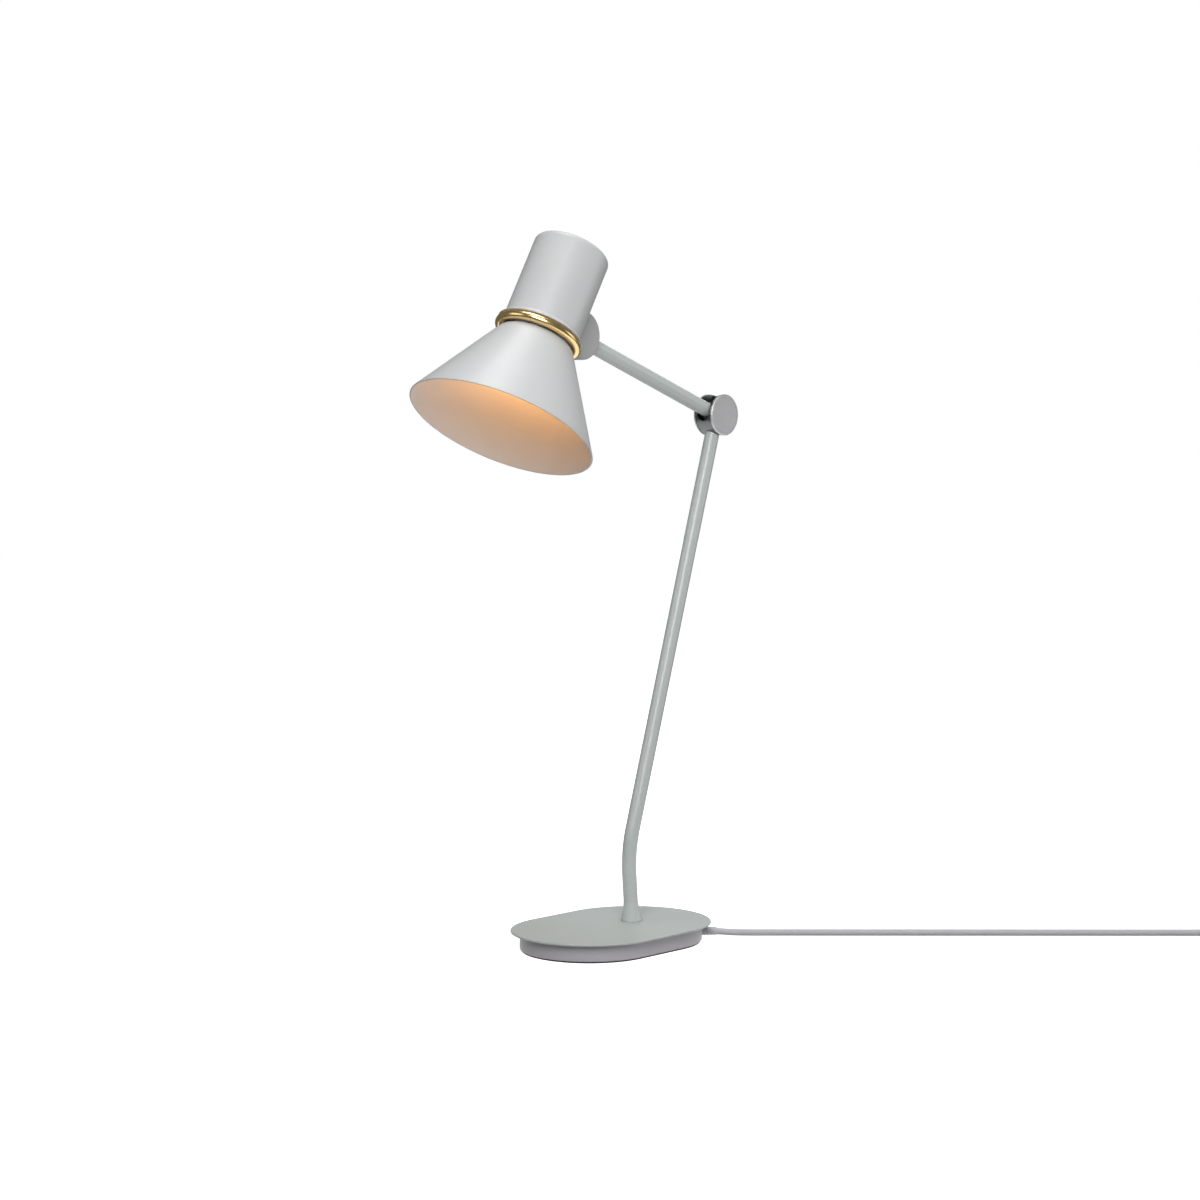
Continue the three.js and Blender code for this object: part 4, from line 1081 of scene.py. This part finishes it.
def head_bolt():
    """Socket-headed bolt, put in from the far side."""
    tip, shoulder, top = -9.9, 9.3, 11.5
    outline = rounded([(0, tip), (PIN_RADIUS, tip, 0.4), (PIN_RADIUS, shoulder), (BOLT_HEAD, shoulder),
                       (BOLT_HEAD, top, 0.5), (0, top)])
    bolt = turned("pivot_bolt", outline, PIVOT @ TO_Y, FINE)
    carve(bolt, [cylinder("socket", 2.4, 10, 13, PIVOT @ TO_Y, 6)])
    return put(bolt, "head", "plated_steel", plated, "head_bolt")


def bulb_glass():
    """Opal globe with an open neck that the screw base closes."""
    def side(inset):
        radius = BULB_RADIUS - inset
        points = [(0, BULB_HEIGHT - radius)]
        steps = 28
        for k in range(1, steps + 1):
            angle = -math.pi / 2 + math.radians(140) * k / steps
            points.append((radius * math.cos(angle), BULB_HEIGHT + radius * math.sin(angle)))
        neck = [(BULB_NECK + 6.2 - inset, BULB_FOOT - 26), (BULB_NECK + 3 - inset, BULB_FOOT - 14),
                (BULB_NECK + 0.8 - inset, BULB_FOOT - 6), (BULB_NECK - inset, BULB_FOOT)]
        return points + neck

    glass = turned("bulb", side(0) + side(1)[::-1], HEAD, 96)
    return put(glass, "head", "opal_glass", opal, "bulb_glass")


def lampholder():
    bore = 14
    outline = rounded([
        (bore, BULB_FOOT + 1, 0.3), (HOLDER_RADIUS, BULB_FOOT + 1, 0.8),
        (HOLDER_RADIUS, HOLDER_TOP - 12, 2), (HOLDER_RADIUS - 4, HOLDER_TOP, 1),
        (5, HOLDER_TOP), (5, HOLDER_TOP + 7, 0.4), (0, HOLDER_TOP + 7),
    ])
    outline += [(0, SCREW_BASE_TOP + 1), (bore, SCREW_BASE_TOP + 1), outline[0]]
    holder = turned("holder", outline, HEAD, 96)
    return put(holder, "head", "white_plastic", white_plastic, "lampholder")


def holder_ring():
    low = BULB_FOOT + 2
    outline = rounded([
        (HOLDER_RADIUS + GAP, low), (HOLDER_RADIUS + 4.5, low, 0.8), (HOLDER_RADIUS + 4.5, low + 5, 0.8),
        (HOLDER_RADIUS + GAP, low + 5),
    ], closed=True)
    nut = turned("holder_ring", outline, HEAD, 240, ribs=(40, 0.7, HOLDER_RADIUS + 3, low - 1, low + 6))
    return put(nut, "head", "white_plastic", white_plastic, "lampholder_ring")


def switch_nut():
    inner = SWITCH_NECK + GAP
    low = CAP_TOP + GAP
    outline = rounded([(inner, low), (11.5, low, 0.15), (11.5, low + 1.4, 0.5), (inner, low + 1.4, 0.2)],
                      closed=True)
    nut = turned("switch_collar", outline, HEAD, 192, ribs=(48, 0.25, 11, low, low + 1.2))
    return put(nut, "head", "nickel", nickel, "switch_nut")


def switch_body():
    shoulder = CAP_TOP - CAP_WALL - GAP
    bore = BUTTON_RADIUS + GAP
    floor = SWITCH_FOOT + 9
    top = CAP_TOP + 1.6
    outline = rounded([
        (0, SWITCH_FOOT), (10, SWITCH_FOOT, 0.8), (10, shoulder), (SWITCH_NECK, shoulder),
        (SWITCH_NECK, top, 0.3), (bore, top, 0.3), (bore, floor), (0, floor),
    ])
    body = turned("switch", outline, HEAD, FINE)
    return put(body, "head", "grey_plastic", grey_plastic, "switch_body")


def switch_button():
    top = CAP_TOP + BUTTON_PROUD
    low = SWITCH_FOOT + 12
    outline = [(0, low), (BUTTON_RADIUS, low), (BUTTON_RADIUS, top - 1.2)]
    steps = 8
    for k in range(1, steps + 1):
        share = k / steps
        angle = share * math.pi / 2
        outline.append((BUTTON_RADIUS - 0.9 + 0.9 * math.cos(angle), top - 1.2 + 0.9 * math.sin(angle)))
    outline += [(BUTTON_RADIUS - 2.6, top - 0.08), (0, top)]
    button = turned("button", outline, HEAD, FINE)
    return put(button, "switch_button", "head_paint", head_paint, "switch_button")


for build in (base_plate, base_skirt, foot_pad, foot_ferrule, lower_tube, elbow_drum, elbow_bolt,
              elbow_nut, upper_tube, shade, shade_ring, neck_sleeve, gold_ring, cap_collar, cap_shell,
              pivot_housing, head_bolt, bulb_glass, lampholder, holder_ring, switch_nut, switch_body,
              switch_button):
    build()


# -------- CAD nodes that stay
KEPT = {
    cast_iron: ["ballast"],
    plated: ["base_cover", "base_screw_1", "base_screw_2", "base_screw_3", "swivel_stud", "swivel_nut",
             "lampholder_bracket", "lampholder_nut"],
    blackened: ["elbow_knuckle", "head_knuckle"],
    nylon: ["swivel_bush", "swivel_washer", "elbow_washer_near", "elbow_washer_far", "head_washer_near",
            "head_washer_far"],
    white_plastic: ["base_lead", "lower_lead", "upper_lead", "head_lead", "lampholder_lead"],
    nickel: ["bulb_base"],
}
for material, names in KEPT.items():
    for name in names:
        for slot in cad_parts[name].material_slots:
            slot.material = material


# -------- floor, world and lights
FLOOR_HALF = 6            # metres
FLOOR_GAP = 0.0001        # metres below the pad, so that the two faces don't fight
FLOOR_GLOW = 1.0
TABLE_HALF = 0.75         # metres
TABLE_GLOW = 1.2
WORLD_BRIGHT_SIDE = (0.8, -0.15, -0.6)  # most of the room's light comes from here, like a pale table's
WORLD_FADE = (-0.4, 0.6)  # where it turns from dim to bright, towards that side
WORLD_DIM = 0.06
WORLD_BRIGHT = 0.62
WORLD_GLOSS = 0.14        # what gloss and metal reflect
SOFTBOX_SIZE = 1.4        # metres
SOFTBOX_DISTANCE = 2.6
AIM = Vector((0, 0, 0.35))  # what the softboxes face
SOFTBOXES = {             # direction from the lamp, watts, seen in gloss only
    "key": ((-0.68, -0.55, 0.48), 45, False),
    "top": ((0, 0, 1), 31, False),
    "sheen": ((0.72, -0.66, 0.12), 7, True),
    "side": ((-0.85, 0.40, 0.34), 7, True),
    "rim": ((0.8, 0.5, 0.4), 6, False),
}


def glowing_sheet(name, half, height, colour, roughness, glow):
    """A level square that gives off white light. Returns (sheet, shader)."""
    mesh = bpy.data.meshes.new(name)
    corners = [(-half, -half), (half, -half), (half, half), (-half, half)]
    mesh.from_pydata([(x, y, height) for x, y in corners], [], [(0, 1, 2, 3)])
    sheet = add_object(name, mesh)
    material, _, _, shader = new_material(name, colour, roughness)
    set_inputs(shader, {"Emission Color": (1, 1, 1, 1), "Emission Strength": glow})
    mesh.materials.append(material)
    return sheet, shader


def add_floor():
    """White paper that the camera sees, and that doesn't light the lamp from below."""
    floor, shader = glowing_sheet("floor", FLOOR_HALF, -FLOOR_GAP, (0.86, 0.86, 0.86), 0.9, FLOOR_GLOW)
    shader.inputs["Specular IOR Level"].default_value = 0.1
    floor.visible_diffuse = False
    floor.visible_glossy = False


def add_reflected_table():
    """The bright patch of table under the lamp that gloss and metal reflect."""
    patch, _ = glowing_sheet("table_patch", TABLE_HALF, -2 * FLOOR_GAP, (0, 0, 0), 1, TABLE_GLOW)
    patch.visible_camera = False
    patch.visible_diffuse = False
    patch.visible_shadow = False


def add_world():
    """White where the camera sees it, a dim grey where it lights the lamp, dark in reflections."""
    world = bpy.data.worlds.new("world")
    bpy.context.scene.world = world
    world.use_nodes = True
    nodes = world.node_tree.nodes
    link = world.node_tree.links.new
    nodes["Background"].inputs["Color"].default_value = (1, 1, 1, 1)
    path = nodes.new("ShaderNodeLightPath")
    place = nodes.new("ShaderNodeTexCoord")
    facing = nodes.new("ShaderNodeVectorMath")
    facing.operation = "DOT_PRODUCT"
    facing.inputs[1].default_value = WORLD_BRIGHT_SIDE
    link(place.outputs["Generated"], facing.inputs[0])
    strength = spread(nodes, link, facing.outputs["Value"], WORLD_DIM, WORLD_BRIGHT, *WORLD_FADE)
    for ray, level in (("Is Glossy Ray", WORLD_GLOSS), ("Is Camera Ray", 1.0)):
        choice = nodes.new("ShaderNodeMapRange")
        choice.inputs["To Max"].default_value = level
        link(path.outputs[ray], choice.inputs["Value"])
        link(strength, choice.inputs["To Min"])
        strength = choice.outputs["Result"]
    link(strength, nodes["Background"].inputs["Strength"])


def add_softbox(name, toward, watts, gloss_only):
    """A square light that faces AIM. In gloss only, it doesn't light matt surfaces."""
    data = bpy.data.lights.new(name, "AREA")
    data.shape = "SQUARE"
    data.size = SOFTBOX_SIZE
    data.energy = watts
    softbox = add_object(name, data)
    toward = Vector(toward).normalized()
    softbox.location = AIM + toward * SOFTBOX_DISTANCE
    softbox.rotation_euler = (-toward).to_track_quat("-Z", "Y").to_euler()
    softbox.visible_camera = False
    softbox.visible_diffuse = not gloss_only


add_floor()
add_reflected_table()
add_world()
for name, settings in SOFTBOXES.items():
    add_softbox(name, *settings)

scene = bpy.context.scene
scene.view_settings.view_transform = "Standard"
